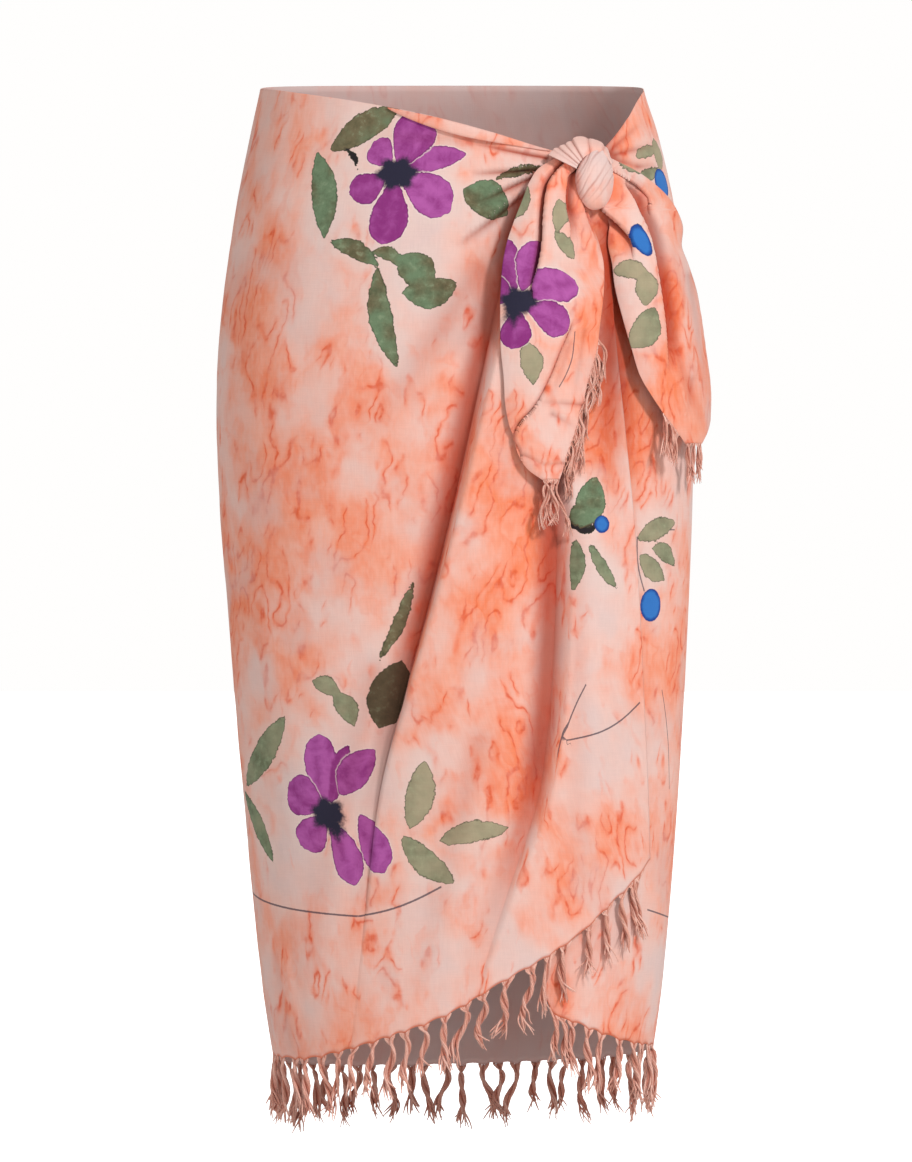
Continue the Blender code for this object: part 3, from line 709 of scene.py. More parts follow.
TUCK_START, TUCK_WIDTH = (7.0, 20.0)   # cloth is tucked in behind a pleat so far, then comes out
RISER_WIDTH = 5.0         # width of the step down from a pleat's ridge, as seen from the front
PLEAT_RUN = 26.0          # width of cloth that each pleat hides
LOWEST = ((54, 68), (-3, LAYER_LIFT))  # lowest lift by x: it stays above the under layer's end
LEFT_SHADE = table("height x", [(-200, 38), (-140, 40), (-112, 47), (-93, 55), (-78, 62)])
OVER_ROWS = 0.4 * np.linspace(0, 1, 260) + 0.6 * np.linspace(0, 1, 260) ** 2


def own_lift(x, height):
    """Lift of the over layer without its folds: it covers the under layer and rises to the knot."""
    return (LAYER_LIFT * ramp(x, -20, 60) + 1.2 * ramp(x, 30, 70)
            + 2.2 * ramp(x, 20, 70) * ramp(height, -190, -110))


def hidden_cloth(pleats, height):
    """Width of cloth hidden in the first pleats at a height: all of it where they stand high."""
    stood = sum(ramp(smooth(line, "height", "lift", height), 1.6, 9.6)
                for line in (FIRST_PLEAT, SECOND_PLEAT)[:pleats])
    return PLEAT_RUN * stood + 0 * height


def over_layer():
    """Angle, height, lift, painted shade, x and hidden cloth at the points of the over layer.

    Columns run along the pleats and rows from top edge to hem. Between two lines the lift goes
    from the pleat's height down to the next line, plus a crown. A pleat's riser is the narrow
    column between the end of one stretch and the start of the next.
    """
    lines = (FIRST_PLEAT, SECOND_PLEAT, FREE_EDGE)
    down = OVER_ROWS[:, None]
    parts = []
    for k, line in enumerate(lines):
        share = np.linspace(0, 1, int(STRETCHES["columns"][k]))[None, :]
        share = share if k else 0.6 * share + 0.4 * (1 - (1 - share) ** 2)
        height = -60 - 650 * down + 0 * share
        for _ in range(PASSES):
            if k == 0:
                start = SEAM_ANGLE - math.pi + 0 * height
            else:
                riser = RISER_WIDTH * np.clip(smooth(lines[k - 1], "height", "lift", height) / 8, 0.15, 1)
                start = front_angle(smooth(lines[k - 1], "height", "x", height) + riser, height)
            end = front_angle(smooth(line, "height", "x", height), height)
            angle = start + (end - start) * share
            x = form_point(angle, height, 0)[..., 0]
            top = smooth(OVER_TOP, "x", "height", x)
            hem = smooth(OVER_HEM, "x", "height", x)
            height = top + (hem - top) * down
        rise = STRETCHES["at_start"][k] * smooth(lines[k - 1], "height", "lift", height)
        fall = smooth(line, "height", "lift", height)
        crown = STRETCHES["crown"][k] * np.sin(math.pi * share) ** 0.8 * ramp(top - height, 0, 90)
        lift = rise * (1 - share) ** 1.6 + crown * (0.4 + fall / 12) + own_lift(x, height)
        lift = np.maximum(lift, np.interp(x, *LOWEST))
        off_line = smooth(line, "height", "x", height) - x
        tucked = (1 - eased(ramp(off_line, TUCK_START, TUCK_START + TUCK_WIDTH))) * ramp(fall, 0, 12)
        drawn = troughs(x, height, DRAWN_FOLDS) * ramp(x, -150, -120)
        laps, shade = lapping(x, height, LAPPING_FOLDS)
        lift = lift - STRETCHES["dip"][k] * tucked - drawn + laps
        # Painted shade: in the tucks behind the pleats, under the lapping folds, in the drawn troughs, in
        # the recess between the free corners and beside the left corner.
        pleat_shade = tucked * (STRETCHES["dip"][k] > 0) * ramp(height, -118, -158)
        between = bell(x - 122, 14) * ramp(height, -96, -110) * ramp(height, -330, -220)
        beside = bell(x - np.interp(height, *LEFT_SHADE.values()), 9)
        beside = beside * ramp(height, -230, -170) * ramp(height, -78, -94)
        shades = (pleat_shade, np.minimum(shade, 1), np.clip(0.26 * drawn, 0, 0.9), between, beside)
        parts.append((angle, height, lift, np.max(shades, axis=0), x, hidden_cloth(k, height)))
    return [np.concatenate(each, axis=1) for each in zip(*parts)]


angle, height, lift, valley, x, hidden = over_layer()
run = cloth_run(angle)
over_tassels, height = drawn_up(run, height, OVER_ROWS[:, None], 53)
lift = lift + rumple(run, height, 21) * ramp(run, -285, -260) * ramp(x, 150, 130) * (1 - 0.6 * valley)
lift = np.maximum(lift, np.interp(x, *LOWEST))
over_hem_run = run[-1]
run = run + hidden


def over_run(x, z):
    """Run of a place on the over layer seen from the front, with the cloth that its pleats hide."""
    at = np.array(float(z))
    pleats = int(sum(x > smooth(line, "height", "x", at) for line in (FIRST_PLEAT, SECOND_PLEAT)))
    return front_run(x, z) + float(hidden_cloth(pleats, at))


fields = printed(run, height, over_run, flowers=OVER_FLOWERS, leaves=OVER_LEAVES, stems=OVER_STEMS,
                 berries=[(112, -348, 14, 14)],
                 hearts=[(-43, -71, 30, 22), (-97, -577, 26, 22), (-90, -588, 10, 14)])
fields.update(dye=clouds(x, height, OVER_DYE), valley=valley, hem=height - height[-1])
inner = form_point(angle, height, lift)
over, over_wall = cloth_sheet("over_layer_cloth", "front_over", inner, run, fields)

# The waist roll: the top edge of the over layer turned outwards once where it is drawn tight,
# as a flat lens of doubled cloth that dies out towards the side and into the knot.

ROLL_START, ROLL_END = (-50, 74)
ROLL_GAP = 0.6            # space between the right side of the over layer and the roll
ROLL_SHIFT = 40           # moves the roll's print to another part of the marbling


def tube_faces(rows, columns):
    """Faces of a tube whose rings are the rows of its points, with a flat strip over each end."""
    index = np.arange(rows * columns).reshape(rows, columns)
    around = np.roll(index, -1, axis=1)
    faces = [np.stack([index[:-1], index[1:], around[1:], around[:-1]], axis=-1).reshape(-1, 4)]
    half = columns // 2
    for ring, order in ((index[0], 1), (index[-1], -1)):
        back = ring[::-1]
        strip = np.stack([ring[:half - 1], ring[1:half], back[1:half], back[:half - 1]], axis=-1)
        faces.append(strip[:, ::order])
    return np.concatenate(faces)


rows, columns = (120, 24)
share = np.linspace(0, 1, rows)[:, None]
turn = np.linspace(0, 2 * math.pi, columns + 1)[None, :-1]
x = ROLL_START + (ROLL_END - ROLL_START) * share + 0 * turn
swell = np.sin(math.pi * share ** 0.8) ** 1.1
height = smooth(OVER_TOP, "x", "height", x) + (0.5 + 4.5 * swell) * (np.sin(turn) - 1)
lift = own_lift(x, height) + WALL + ROLL_GAP + (0.4 + 1.5 * swell) * (1 + np.cos(turn))
angle = front_angle(x, height)
fields = plain(x.shape)
fields["dye"] += 0.2
points = form_point(angle, height, lift).reshape(-1, 3)
layout = np.stack([cloth_run(angle), height + ROLL_SHIFT], axis=-1).reshape(-1, 2)
mesh_object("waist_roll_cloth", "waist_roll", points, tube_faces(rows, columns),
            [right_side], fields, layout)

# The free corners: two corners of the cloth that leave the knot and hang in long soft folds,
# each a single layer whose sides roll back towards the skirt.

LEFT_TAIL = table("height left right lift fold", [
    (-56, 90, 102, 11, 1), (-61, 80, 102, 14, 2), (-67, 70, 102, 17, 3), (-78, 62, 103, 20, 4),
    (-93, 56, 106, 23, 5), (-112, 48.5, 110, 24, 6), (-126, 44, 115, 25, 7), (-140, 41, 118.5, 25, 7),
    (-162, 39, 119, 25, 7), (-190, 38.5, 116, 25, 7), (-212, 39, 113, 25, 6), (-232, 41, 107, 24, 5),
    (-256, 42.5, 102, 23, 4), (-278, 47.5, 95, 22, 3), (-298, 55, 88, 21, 2), (-306, 62, 86.5, 20, 1.5),
    (-312.5, 72, 84, 20, 1),
])
RIGHT_TAIL = table("height left right lift fold", [
    (-57, 114, 121, 9, 1), (-62, 114, 132, 10, 1), (-68, 115, 145, 11, 1), (-78, 116, 160, 13, 3),
    (-88, 116, 171, 15, 4), (-100, 119, 179, 16, 5), (-109, 123.5, 182.5, 16, 6), (-127, 123.7, 182, 16, 7),
    (-140, 126.5, 187, 17, 7), (-160, 129, 194, 17, 7), (-180, 134, 198.5, 18, 7), (-208, 142, 204, 18, 6),
    (-232, 149.6, 208, 18, 4), (-246, 158, 209.5, 17, 3), (-262, 169, 206, 16, 2), (-274, 178, 202.5, 16, 1),
    (-283, 185, 198, 15, 1),
])
TURNED_IN = 1.5           # the cloth starts to turn in this far beyond the line of a fold


def lapped(x, height, rows, tall, wide, side):
    """Lift and shade of a fold along a line down the cloth. On its low side the cloth turns in
    under it and stays low for a width, and on the other side the fold swells and eases off.
    Side is -1 where the low side is to the left of the line, and 1 where it is to the right."""
    off = (x - smooth(rows, "height", "x", height)) * side
    first, last = rows["height"].max(), rows["height"].min()
    there = ramp(height, first + 6, first - 2) * ramp(height, last - 14, last + 14)
    low = np.where(off > 0, 1 - eased(ramp(off, TURNED_IN, TURNED_IN + wide)), 0)
    swell = np.where(off > 0, 0, bell(off, wide))
    return there * tall * (0.6 * swell - low), there * low


def tail_grid(name, rows_table, rows, columns, seed):
    """Inner face of a free corner: a sheet with long folds whose edges turn back to the skirt."""
    heights = rows_table["height"]
    height = np.linspace(heights[0], heights[-1], rows)[:, None]
    share = np.linspace(0, 1, columns)[None, :]
    left = smooth(rows_table, "height", "left", height)
    right = smooth(rows_table, "height", "right", height)
    lift = smooth(rows_table, "height", "lift", height)
    fold = smooth(rows_table, "height", "fold", height)
    x = left + (right - left) * share
    height = height + 0 * x
    shape = -1.1 * np.abs(2 * share - 1) ** 3
    level = lift + fold * shape + 0.7 * rumple(x * 1.6, height, seed)
    creased = troughs(x, height, TAIL_CREASES[name])
    level = level - creased
    # Painted shade in the creases and on the turned-in side of each lap.
    valley = np.clip(0.3 * creased, 0, 0.6)
    for line, tall, wide, side in TAIL_LAPS[name]:
        lap, shade = lapped(x, height, line, tall, wide, side)
        level = level + lap
        valley = np.maximum(valley, shade * min(tall / 5, 1))
    return form_point(front_angle(x, height, level), height, level), x, height, valley


def tail_run(grid, x):
    """Run across a free corner: distance along the cloth from the left edge of each row, which
    starts at the x of that edge, so that a print keeps its shape where the cloth folds."""
    steps = np.linalg.norm(np.diff(grid, axis=1), axis=-1)
    run = np.concatenate([0 * x[:, :1], np.cumsum(steps, axis=1)], axis=1) + x[:, :1]

    def to_run(at, z):
        """Run of a place seen from the front, on the row that lies at its height."""
        row = np.abs(grid[:, 0, 2] - z).argmin()
        return float(np.interp(at, x[row], run[row]))

    return run, to_run


TAIL_LAPS = {
    "left_tail": [
        (table("height x", [(-62, 92), (-66, 87), (-72, 81.5), (-79, 77.3), (-87, 75.2), (-96, 73.9),
                            (-114, 72.6), (-131, 71.5), (-146, 68.6), (-159, 64.6)]), 6.5, 7, -1),
        (table("height x", [(-66, 98), (-71, 92), (-80, 89.4), (-98, 88.8), (-114, 92)]), 5.5, 8, 1),
        (table("height x", [(-84, 101), (-98, 103), (-114, 108), (-127, 114)]), 2.4, 5, 1),
        (table("height x", [(-194, 95), (-212, 87), (-232, 79), (-257, 65), (-270, 53.5), (-281, 51),
                            (-290, 55)]), 2.4, 5, -1),
    ],
    "right_tail": [
        (table("height x", [(-80, 136), (-89, 142), (-101, 148), (-114, 154.4), (-127, 158.4), (-143, 161.5),
                            (-168, 165.6), (-192, 168.6), (-216, 170)]), 7.0, 13, 1),
        (table("height x", [(-98, 118), (-108, 130), (-120, 141), (-127, 144)]), 5.5, 12, -1),
        (table("height x", [(-66, 124), (-71, 134), (-76, 143), (-81, 150), (-89, 157)]), 4.0, 5, -1),
    ],
}
TAIL_CREASES = {
    "left_tail": table("x0 z0 x1 z1 depth width", [
        (102, -254, 70, -252, 2.0, 2.4), (79, -262, 95, -271, 1.8, 2.8), (104, -196, 96, -246, 1.2, 2.6),
        (57, -294, 72, -301, 1.6, 2.0), (88, -300, 70, -301.5, 1.6, 2.0), (92, -206, 76, -256, 1.2, 3.0),
    ]),
    "right_tail": table("x0 z0 x1 z1 depth width", [
        (188, -150, 200, -236, 1.4, 4.0), (176, -210, 196, -262, 1.4, 4.0), (190, -232, 186, -262, 1.2, 3.0),
    ]),
}


def free_corner(name, outline, rows, seed, shift, dye, **motifs):
    """One free corner, and the grid halfway through its cloth. The shift moves its print to
    another part of the marbling."""
    grid, x, height, valley = tail_grid(name, outline, rows, 110, seed)
    run, to_run = tail_run(grid, x)
    fields = printed(run, height, to_run, **motifs)
    fields.update(dye=clouds(x, height, dye), valley=0.95 * valley)
    return cloth_sheet(name + "_cloth", name, grid, run + shift, fields)


left_tail, left_wall = free_corner(
    "left_tail", LEFT_TAIL, 220, 31, 0,
    # The first patch is painted shade: it deepens and reddens the recess where the cloth turns in beside the
    # fold near x 89.
    dye=[(94, -88, 6, 22, 2.2), (100, -120, 14, 40, 1.2), (104, -200, 14, 40, 0.9), (50, -285, 14, 30, 1.2),
         (60, -110, 16, 30, 0.2), (78, -262, 24, 22, 0.3), (66, -222, 20, 20, 0.5)],
    flowers=[(52, -172, 104, 6, 50, 22, 0.7), (52, -172, 68, 8, 50, 24, 0.4),
             (52, -172, 17, 6, 56, 27, 0.35), (52, -172, -30, 6, 46, 26, 0.5),
             (52, -172, -98, 6, 38, 24, 0.8), (52, -172, 150, 4, 26, 22, 0.8)],
    leaves=[(58, -204, 64, -238, 18, 2, -0.6), (52, -82, 50, -108, 10, 2, -0.5),
            (84, -92, 82, -118, 14, 2, -0.6), (80, -118, 96, -140, 12, 2, -0.55)],
    stems=[(96, -196, 84, -240, 1.0, 4)], hearts=[(53, -172, 26, 18), (48, -178, 12, 20)])

right_tail, right_wall = free_corner(
    "right_tail", RIGHT_TAIL, 200, 41, 300,
    # The first patch is painted shade: it deepens and reddens the cloth where it turns in right of the long
    # ridge fold.
    dye=[(174, -164, 9, 30, 2.6), (180, -215, 20, 40, 0.9), (165, -240, 20, 30, 0.8),
         (136, -122, 12, 20, 1.2), (128, -84, 8, 20, 1.6), (150, -88, 14, 14, 0.9)],
    leaves=[(125, -147, 155, -149, 15, 2, -0.7), (151, -146, 153, -175, 20, 2, -0.6),
            (138, -208, 160, -176, 24, -3, -0.5), (150, -50, 160, -70, 14, 2, -0.5),
            (146, -110, 152, -128, 10, 2, -0.6)],
    berries=[(149, -123, 17, 25)])

# The knot: one corner passes over the other as a pleated fan and comes back as a plump loop.
# Both are many layers of the same cloth drawn tight, so they are closed bundles with creases.

KNOT_X, KNOT_Z, KNOT_LIFT = (112.0, -74.0, 21.0)
KNOT_OUTLINE = table("angle loop rim", [
    (-180, 14.0, 0), (-150, 15.0, 0), (-120, 19.5, 0), (-92, 25.5, 0), (-60, 21.5, 0), (-30, 17.0, 0),
    (0, 15.8, 0), (30, 15.2, 16.5), (50, 17.0, 21.0), (70, 19.0, 27.5), (95, 18.0, 31.5), (112, 16.5, 35.0),
    (130, 15.0, 35.0), (150, 14.2, 39.5), (165, 14.0, 36.0), (180, 14.0, 0),
])
FAN_START, FAN_END = (38.0, 154.0)
FAN_CREASES = table("angle depth width", [
    (147, 1.2, 1.6), (140, 2.2, 2.0), (131, 1.4, 1.6), (121, 2.6, 2.4), (98, 1.8, 3.0), (71, 2.0, 3.0),
])
LOOP_CREASES_AT = table("share depth width", [
    (-0.82, 1.0, 0.05), (-0.64, 1.8, 0.05), (-0.50, 1.0, 0.03), (-0.36, 2.0, 0.04), (-0.16, 1.2, 0.03),
    (0.12, 1.7, 0.04), (0.40, 1.0, 0.03), (0.68, 1.2, 0.04),
])
LOOP_OUTLINE = table("angle reach", [
    (-180, 14.5), (-150, 16.0), (-120, 20.5), (-95, 25.5), (-75, 25.0), (-50, 20.5), (-25, 17.0),
    (0, 16.0), (30, 17.0), (55, 22.0), (75, 26.0), (92, 25.0), (112, 19.0), (140, 15.5), (180, 14.5),
])


def knot_points(angle, radius, lift):
    """Place a polar point of the knot, degrees and millimetres from its middle, on the form."""
    x = KNOT_X + radius * np.cos(np.radians(angle)) + 0 * lift
    height = KNOT_Z + radius * np.sin(np.radians(angle)) + 0 * lift
    return form_point(front_angle(x, height, lift), height, lift)


def bundle(name, node, points, faces, dye, valley, shift):
    """A closed bundle of the knot, with the shade of its creases painted into its colour. The
    shift moves its flat layout to another part of the marbling."""
    fields = plain(len(points))
    fields.update(dye=fields["dye"] + dye, valley=valley)
    layout = points[:, (0, 2)] + (shift, 0)
    mesh_object(name, node, points, faces, [right_side], fields, layout)


rows, columns = (110, 200)
around = np.linspace(-180, 180, columns + 1)[None, :-1]
ring = np.linspace(0.03, math.pi - 0.03, rows)[:, None]
tilt = math.radians(-33)
reach = smooth(KNOT_OUTLINE, "angle", "loop", around) * np.sin(ring)
across = reach * np.cos(np.radians(around) - tilt)
along = reach * np.sin(np.radians(around) - tilt)
share = across / (17 * np.sqrt(np.maximum(1 - (along / 30) ** 2, 0.15)))
crease = 0
for at, deep, wide in zip(*LOOP_CREASES_AT.values()):
    line = bell(share - at - 0.02 * np.sin(along / 5 + 9 * at), wide)
    crease = crease + deep * line * (0.55 + 0.45 * np.sin(along / 9 + 20 * at))
radius = smooth(LOOP_OUTLINE, "angle", "reach", around) * np.sin(ring) ** 0.9 * (1.0 - 0.012 * crease)
lift = KNOT_LIFT + 12.5 * np.cos(ring) - 0.35 * crease
loop = knot_points(around + 0 * ring, radius, lift)
bundle("knot_loop_cloth", "knot_loop", loop.reshape(-1, 3), tube_faces(rows, columns)[:, ::-1],
       -0.8, np.clip(0.30 * crease, 0, 0.7), 600)

rows, columns = (44, 300)
out = np.linspace(0, 1, rows)[:, None]
angle = np.linspace(FAN_START, FAN_END, columns)[None, :]
inner_radius = smooth(KNOT_OUTLINE, "angle", "loop", angle) * 1.05 + 0.45
rim = np.maximum(smooth(KNOT_OUTLINE, "angle", "rim", angle), inner_radius + 3)
bounds = np.sort(FAN_CREASES["angle"])
after = np.clip(np.searchsorted(bounds, angle), 1, len(bounds) - 1)
slope = ramp(angle, bounds[after - 1], bounds[after])
groove = sum(deep * bell(angle - at, wide) for at, deep, wide in zip(*FAN_CREASES.values()))
radius = inner_radius + (rim - inner_radius) * out - 0.5 * groove * out ** 4
face = KNOT_LIFT - 2 + 9 * np.cos(0.5 * math.pi * out ** 1.5) + (slope - 0.5 * groove) * (0.5 + 0.5 * out)
back = KNOT_LIFT - 8 + 3 * out + 0 * angle
both = [knot_points(angle + 0 * out, radius, side).reshape(-1, 3) for side in (face, back)]
shade = np.clip(0.24 * groove, 0, 0.8) * (1.0 - 0.5 * out)
bundle("knot_fan_cloth", "knot_fan", np.concatenate(both), np.concatenate(sheet_faces(rows, columns)),
       -0.6, np.tile(shade.ravel(), 2), 700)

# The fringes: the loose warp threads of each edge, knotted in a line, gathered in bunches and
# twisted in two plies into tassels that end in a small brush of threads.


def twisted_yarn():
    """Twisted rayon yarn: the plies show the yarn's pale salmon on their crowns, and painted shade of deep
    orange in the grooves towards each tassel's core.
    """
    material, tree, shader = new_material("twisted rayon yarn")
    groove = add(tree, "Attribute", out="Fac", attribute_name="groove")
    tint = add(tree, "Attribute", out="Fac", attribute_name="tint")
    place = add(tree, "TexCoord", out="Object")
    fibre = add(tree, "TexNoise", {"Vector": place, "Scale": 1000 / 1.1, "Detail": 2})
    tone = add(tree, "MapRange", {0: fibre, 1: 0.3, 2: 0.7, 3: 0.86, 4: 1.06})
    grey = add(tree, "CombineColor", {0: tone, 1: tone, 2: tone})
    colour = linear("#F6C6B6")
    for factor, other, blend in ((tint, linear("#DF9F8B"), "MIX"), (groove, linear("#B2553C"), "MIX"),
                                 (1.0, grey, "MULTIPLY")):
        colour = add(tree, "Mix", {0: factor, 6: colour, 7: other}, 2, data_type="RGBA", blend_type=blend)
    bump = add(tree, "Bump", {"Height": fibre, "Strength": 0.4, "Distance": 0.0005})
    tree.links.new(colour, shader.inputs["Base Color"])
    tree.links.new(bump, shader.inputs["Normal"])
    shader.inputs["Roughness"].default_value = 0.78
    shader.inputs["Specular IOR Level"].default_value = 0.25
    shader.inputs["Sheen Weight"].default_value = 0.2
    return material


yarn = twisted_yarn()
THREADS = 5               # threads in each of a tassel's two plies
SIDES = 4                 # sides of a thread
HEM_TASSEL, SIDE_TASSEL = ((41.0, 7.6), (26.0, 4.4))      # length and width


def strand_tubes(paths, radii, reference):
    """Tubes carried along many paths at once: rings across each path's own direction, with
    both ends closed."""
    along = np.gradient(paths, axis=1)
    along /= np.maximum(np.linalg.norm(along, axis=-1, keepdims=True), 1e-9)
    first = np.cross(along, reference[:, None, :])
    first /= np.maximum(np.linalg.norm(first, axis=-1, keepdims=True), 1e-9)
    second = np.cross(along, first)
    turn = np.linspace(0, 2 * math.pi, SIDES + 1)[:-1]
    ring = first[:, :, None] * np.cos(turn)[:, None] + second[:, :, None] * np.sin(turn)[:, None]
    points = paths[:, :, None] + ring * radii[:, :, None, None]
    index = np.arange(points.size // 3).reshape(points.shape[:3])
    around = np.roll(index, -1, axis=2)
    walls = np.stack([index[:, :-1], around[:, :-1], around[:, 1:], index[:, 1:]], axis=-1).reshape(-1, 4)
    return points, np.concatenate([walls, index[:, 0, ::-1], index[:, -1]])


def fringe(edge_name, edge, along, places, away, length, width, seed):
    """Tassels at places along an edge. Each is ten threads in two twisted plies: they leave the
    edge side by side, meet, wind round each other along a leaning, slightly curled line, and
    part again at the end. Width is that of one tassel, and along is the run of each edge point."""
    random = np.random.default_rng(seed)
    order = np.argsort(along)
    count = len(places)

    def at(runs, rows):
        """Points of the edge, or another run of vectors along it, at the given runs."""
        return np.stack([np.interp(runs, along[order], rows[order, c]) for c in range(3)], axis=-1)

    root = at(places, edge)
    out = at(places, away)
    out /= np.linalg.norm(out, axis=-1, keepdims=True)
    outward = root * (1, 1, 0) / np.linalg.norm(root[:, :2], axis=1, keepdims=True)
    sideways = np.cross(outward, (0, 0, 1.0))
    tall = length * random.uniform(0.80, 1.15, (count, 1))
    lean, curl, bow = random.uniform(-1, 1, (3, count, 1)) * np.array([0.26, 0.10, 0.10])[:, None, None]
    t = np.linspace(0, 1, 28)[None, :]
    drop = out[:, None] * (0.5 * t * (1 - t))[..., None] + (0, 0, -1.0) * (t * (0.5 + 0.5 * t))[..., None]
    spine = root[:, None] + drop * tall[..., None] \
        + sideways[:, None] * (tall * (lean * t ** 1.4 + curl * np.sin(2 * math.pi * t)))[..., None] \
        + outward[:, None] * (tall * bow * np.sin(math.pi * t))[..., None]
    body = (0.50 + 0.50 * ramp(t, 0, 0.5) ** 0.8) * random.uniform(0.80, 1.12, (count, 1))
    turns = 2 * math.pi * tall / random.uniform(30, 52, (count, 1))
    first_turn = random.uniform(0, 6, (count, 1))
    joined = eased(ramp(t, 0, 0.17))[..., None]
    fray = ramp(t, 0.62, 1) ** 1.5 * width * 0.62
    thin = (0.72 + 0.28 * ramp(t, 0, 0.2)) * (1 - 0.6 * ramp(t, 0.8, 1))
    meshes, tints, painted_groove_shades, all_faces, offset = [], [], [], [], 0
    for k in range(2 * THREADS):
        ply, thread = divmod(k, THREADS)
        wind = turns * t + first_turn + ply * math.pi
        own_wind = 1.7 * turns * t + thread * 2 * math.pi / THREADS
        swing = width * body * (0.21 * np.cos(wind) + 0.14 * np.cos(own_wind))
        depth = width * body * (0.21 * np.sin(wind) + 0.14 * np.sin(own_wind))
        swing = swing + fray * random.uniform(-1.3, 1.3, (count, 1))
        depth = depth + fray * random.uniform(-0.9, 0.9, (count, 1))
        dropped = fray * random.uniform(-0.6, 1.6, (count, 1))
        paths = spine + sideways[:, None] * swing[..., None] + outward[:, None] * depth[..., None] \
            - np.array([0, 0, 1.0]) * dropped[..., None]
        from_middle = (k + 0.5 - THREADS) / (THREADS - 0.5) * width * 0.6
        start = at(places + from_middle + random.uniform(-0.5, 0.5, count), edge)
        paths = (start[:, None] + drop * tall[..., None]) * (1 - joined) + paths * joined
        points, faces = strand_tubes(paths, width * 0.125 * thin + 0 * paths[..., 0], outward)
        inner = np.linalg.norm(points - spine[:, :, None], axis=-1) / (0.45 * width * body[..., None])
        meshes.append(points.reshape(-1, 3))
        tints.append((random.uniform(0, 1, (count, 1, 1)) + 0 * inner).ravel())
        # Painted shade: threads darken towards the tassel's core, where the plies shade each other.
        painted_groove_shades.append(np.clip(1.15 - 1.05 * inner, 0, 1).ravel())
        all_faces.append(faces + offset)
        offset += points.size // 3
    return mesh_object(edge_name + "_tassels", "fringe_" + edge_name, np.concatenate(meshes),
                       np.concatenate(all_faces), [yarn],
                       {"tint": np.concatenate(tints), "groove": np.concatenate(painted_groove_shades)})


def hem_fringe(edge_name, wall, run, places, seed):
    """Fringe along the last row of a stretch of cloth, with one more tassel crowded in near each
    of its corners."""
    crowded = places[[0, -1]] + np.sign(places[-1] - places[0]) * np.array([7, -7])
    places = np.concatenate([places, crowded])
    return fringe(edge_name, wall[-1], run, places, wall[-1] - wall[-6], *HEM_TASSEL, seed)


back_fringe = hem_fringe("back_hem", back_wall, back_hem_run, back_tassels, 1)
over_fringe = hem_fringe("over_hem", over_wall, over_hem_run, over_tassels, 2)
under_fringe = hem_fringe("under_hem", under_wall, under_hem_run, under_tassels, 3)


def distance_along(points):
    """Distance along a run of points, from its first."""
    return np.concatenate([[0], np.cumsum(np.linalg.norm(np.diff(points, axis=0), axis=1))])


def side_fringe(edge_name, wall, column, rows, groups, seed):
    """Fringe along a stretch of one side of a free corner, given by its outer column and rows. It
    hangs in groups, each given by its first and last distance along the stretch and its count."""
    rim = wall[rows, column]
    away = (rim - wall[rows, -1 - column]) * (1, 1, 0)
    radial = rim * (1, 1, 0) / np.linalg.norm(rim[:, :2], axis=1, keepdims=True)
    away = away - (away * radial).sum(axis=1, keepdims=True) * radial - 30 * np.array([0, 0, 1.0])
    run = distance_along(rim)
    places = np.concatenate([np.linspace(first, last, count) for first, last, count in groups])
    return fringe(edge_name, rim, run, places, away, *SIDE_TASSEL, seed)


def tip_fringe(edge_name, wall, step, length, width, seed):
    """Fringe along the short lower edge of a free corner."""
    edge = wall[-1, 3:-3]
    run = distance_along(edge)
    away = np.array([[0, 0, -1.0]]).repeat(len(edge), 0)
    return fringe(edge_name, edge, run, tassel_places(0, run[-1], step, seed), away, length, width, seed)


left_side = side_fringe("left_tail_side", left_wall, -1, slice(124, 216), ((2, 34, 10), (52, 104, 13)), 4)
right_side_fringe = side_fringe("right_tail_side", right_wall, 0, slice(164, 198), ((24, 44, 8),), 5)
left_tip = tip_fringe("left_tail_tip", left_wall, 2.6, 36.0, 4.6, 6)
right_tip = tip_fringe("right_tail_tip", right_wall, 6.0, 26.0, 4.4, 7)

# The studio: a pale floor under the hanging garment, soft light from all round with a large
# soft lamp to the right in front and above, and a long lens level with the middle of the garment.
# Its sizes and places are in metres.

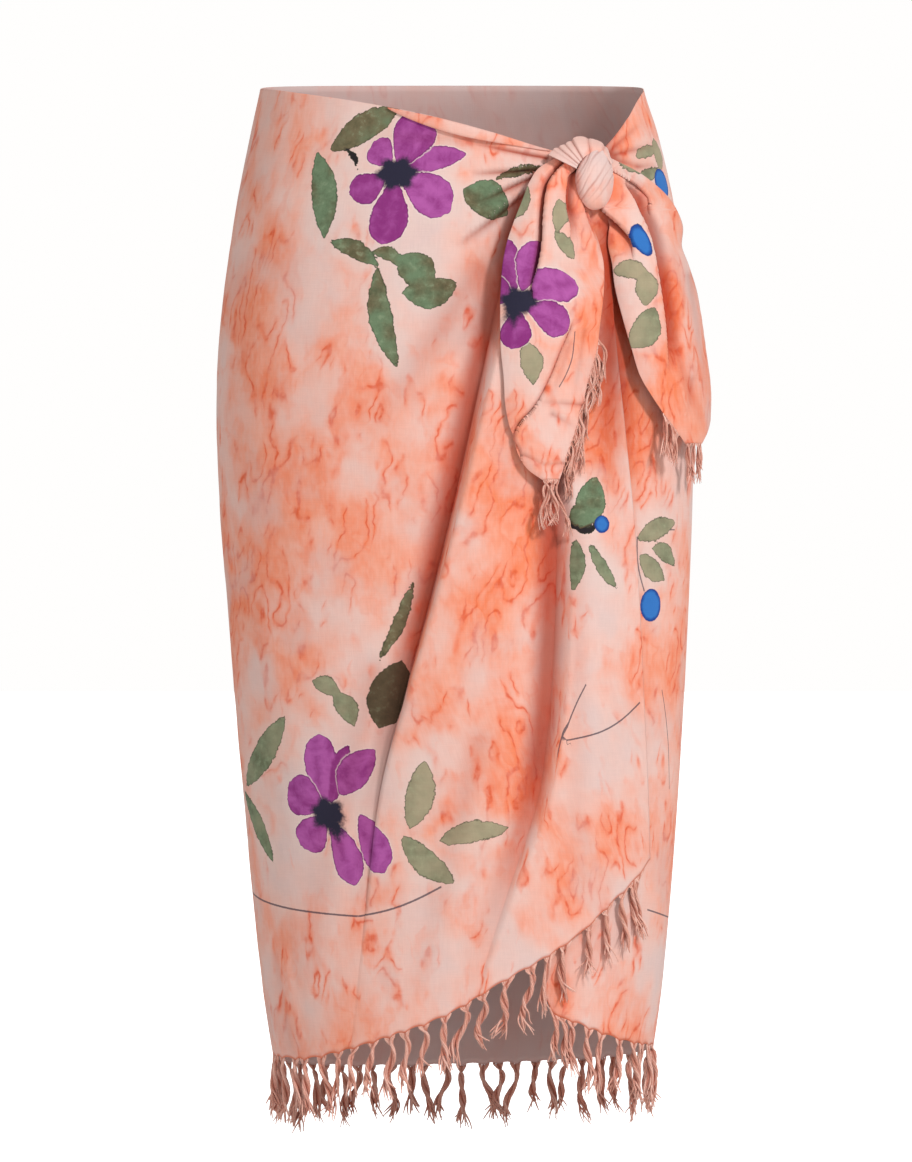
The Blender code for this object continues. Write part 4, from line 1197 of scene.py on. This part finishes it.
FLOOR_Z, FLOOR_RADIUS = (-0.875, 40)
FRAME_WIDTH = 0.7296      # width of the picture at the garment
FRAME_MIDDLE = (0.0032, -0.3928)      # x and z of its middle
CAMERA_DISTANCE = 9.0
LAMPS = (("key lamp", (3.5, -4.4, 3.1), 1.1, 250), ("fill lamp", (-3.2, -4.4, 0.2), 2.6, 40))
LAMP_TARGET = (0, 0, -0.40)
scene = bpy.context.scene
floor_mesh = bpy.data.meshes.new("floor")
turn = np.linspace(0, 2 * math.pi, 65)[:-1]
floor_points = np.stack([np.cos(turn), np.sin(turn), 0 * turn], axis=-1) * FLOOR_RADIUS + (0, 0, FLOOR_Z)
floor_mesh.from_pydata(floor_points.tolist(), [], [list(range(len(turn)))])
floor = bpy.data.objects.new("floor", floor_mesh)
scene.collection.objects.link(floor)
floor_paint, floor_tree, floor_shader = new_material("matt white paint")
floor_shader.inputs["Base Color"].default_value = linear("#F8F7F5")
floor_shader.inputs["Roughness"].default_value = 0.9
floor_shader.inputs["Emission Color"].default_value = (1, 1, 1, 1)
seen = add(floor_tree, "LightPath", out="Is Camera Ray")
floor_tree.links.new(seen, floor_shader.inputs["Emission Strength"])
floor_mesh.materials.append(floor_paint)

world = bpy.data.worlds.new("soft white studio")
scene.world = world
world.use_nodes = True
background = world.node_tree.nodes["Background"]
background.inputs["Color"].default_value = linear("#FFFEFD")
seen = add(world.node_tree, "LightPath", out="Is Camera Ray")
strength = add(world.node_tree, "MapRange", {0: seen, 1: 0, 2: 1, 3: 0.43, 4: 1.0})
world.node_tree.links.new(strength, background.inputs["Strength"])

for name, place, size, power in LAMPS:
    lamp = bpy.data.lights.new(name, "AREA")
    lamp.shape = "DISK"
    lamp.size = size
    lamp.energy = power
    lamp_object = bpy.data.objects.new(name, lamp)
    lamp_object.location = place
    aim = np.array(LAMP_TARGET) - np.array(place)
    lean = math.acos(-aim[2] / np.linalg.norm(aim))
    lamp_object.rotation_euler = (lean, 0, math.atan2(aim[1], aim[0]) - math.pi / 2)
    scene.collection.objects.link(lamp_object)

camera = bpy.data.cameras.new("camera")
camera.sensor_fit = "HORIZONTAL"
camera.lens = camera.sensor_width * CAMERA_DISTANCE / FRAME_WIDTH
camera.clip_end = 100
camera_object = bpy.data.objects.new("camera", camera)
camera_object.location = (FRAME_MIDDLE[0], -CAMERA_DISTANCE, FRAME_MIDDLE[1])
camera_object.rotation_euler = (math.pi / 2, 0, 0)
scene.collection.objects.link(camera_object)
scene.camera = camera_object
scene.view_settings.view_transform = "Standard"
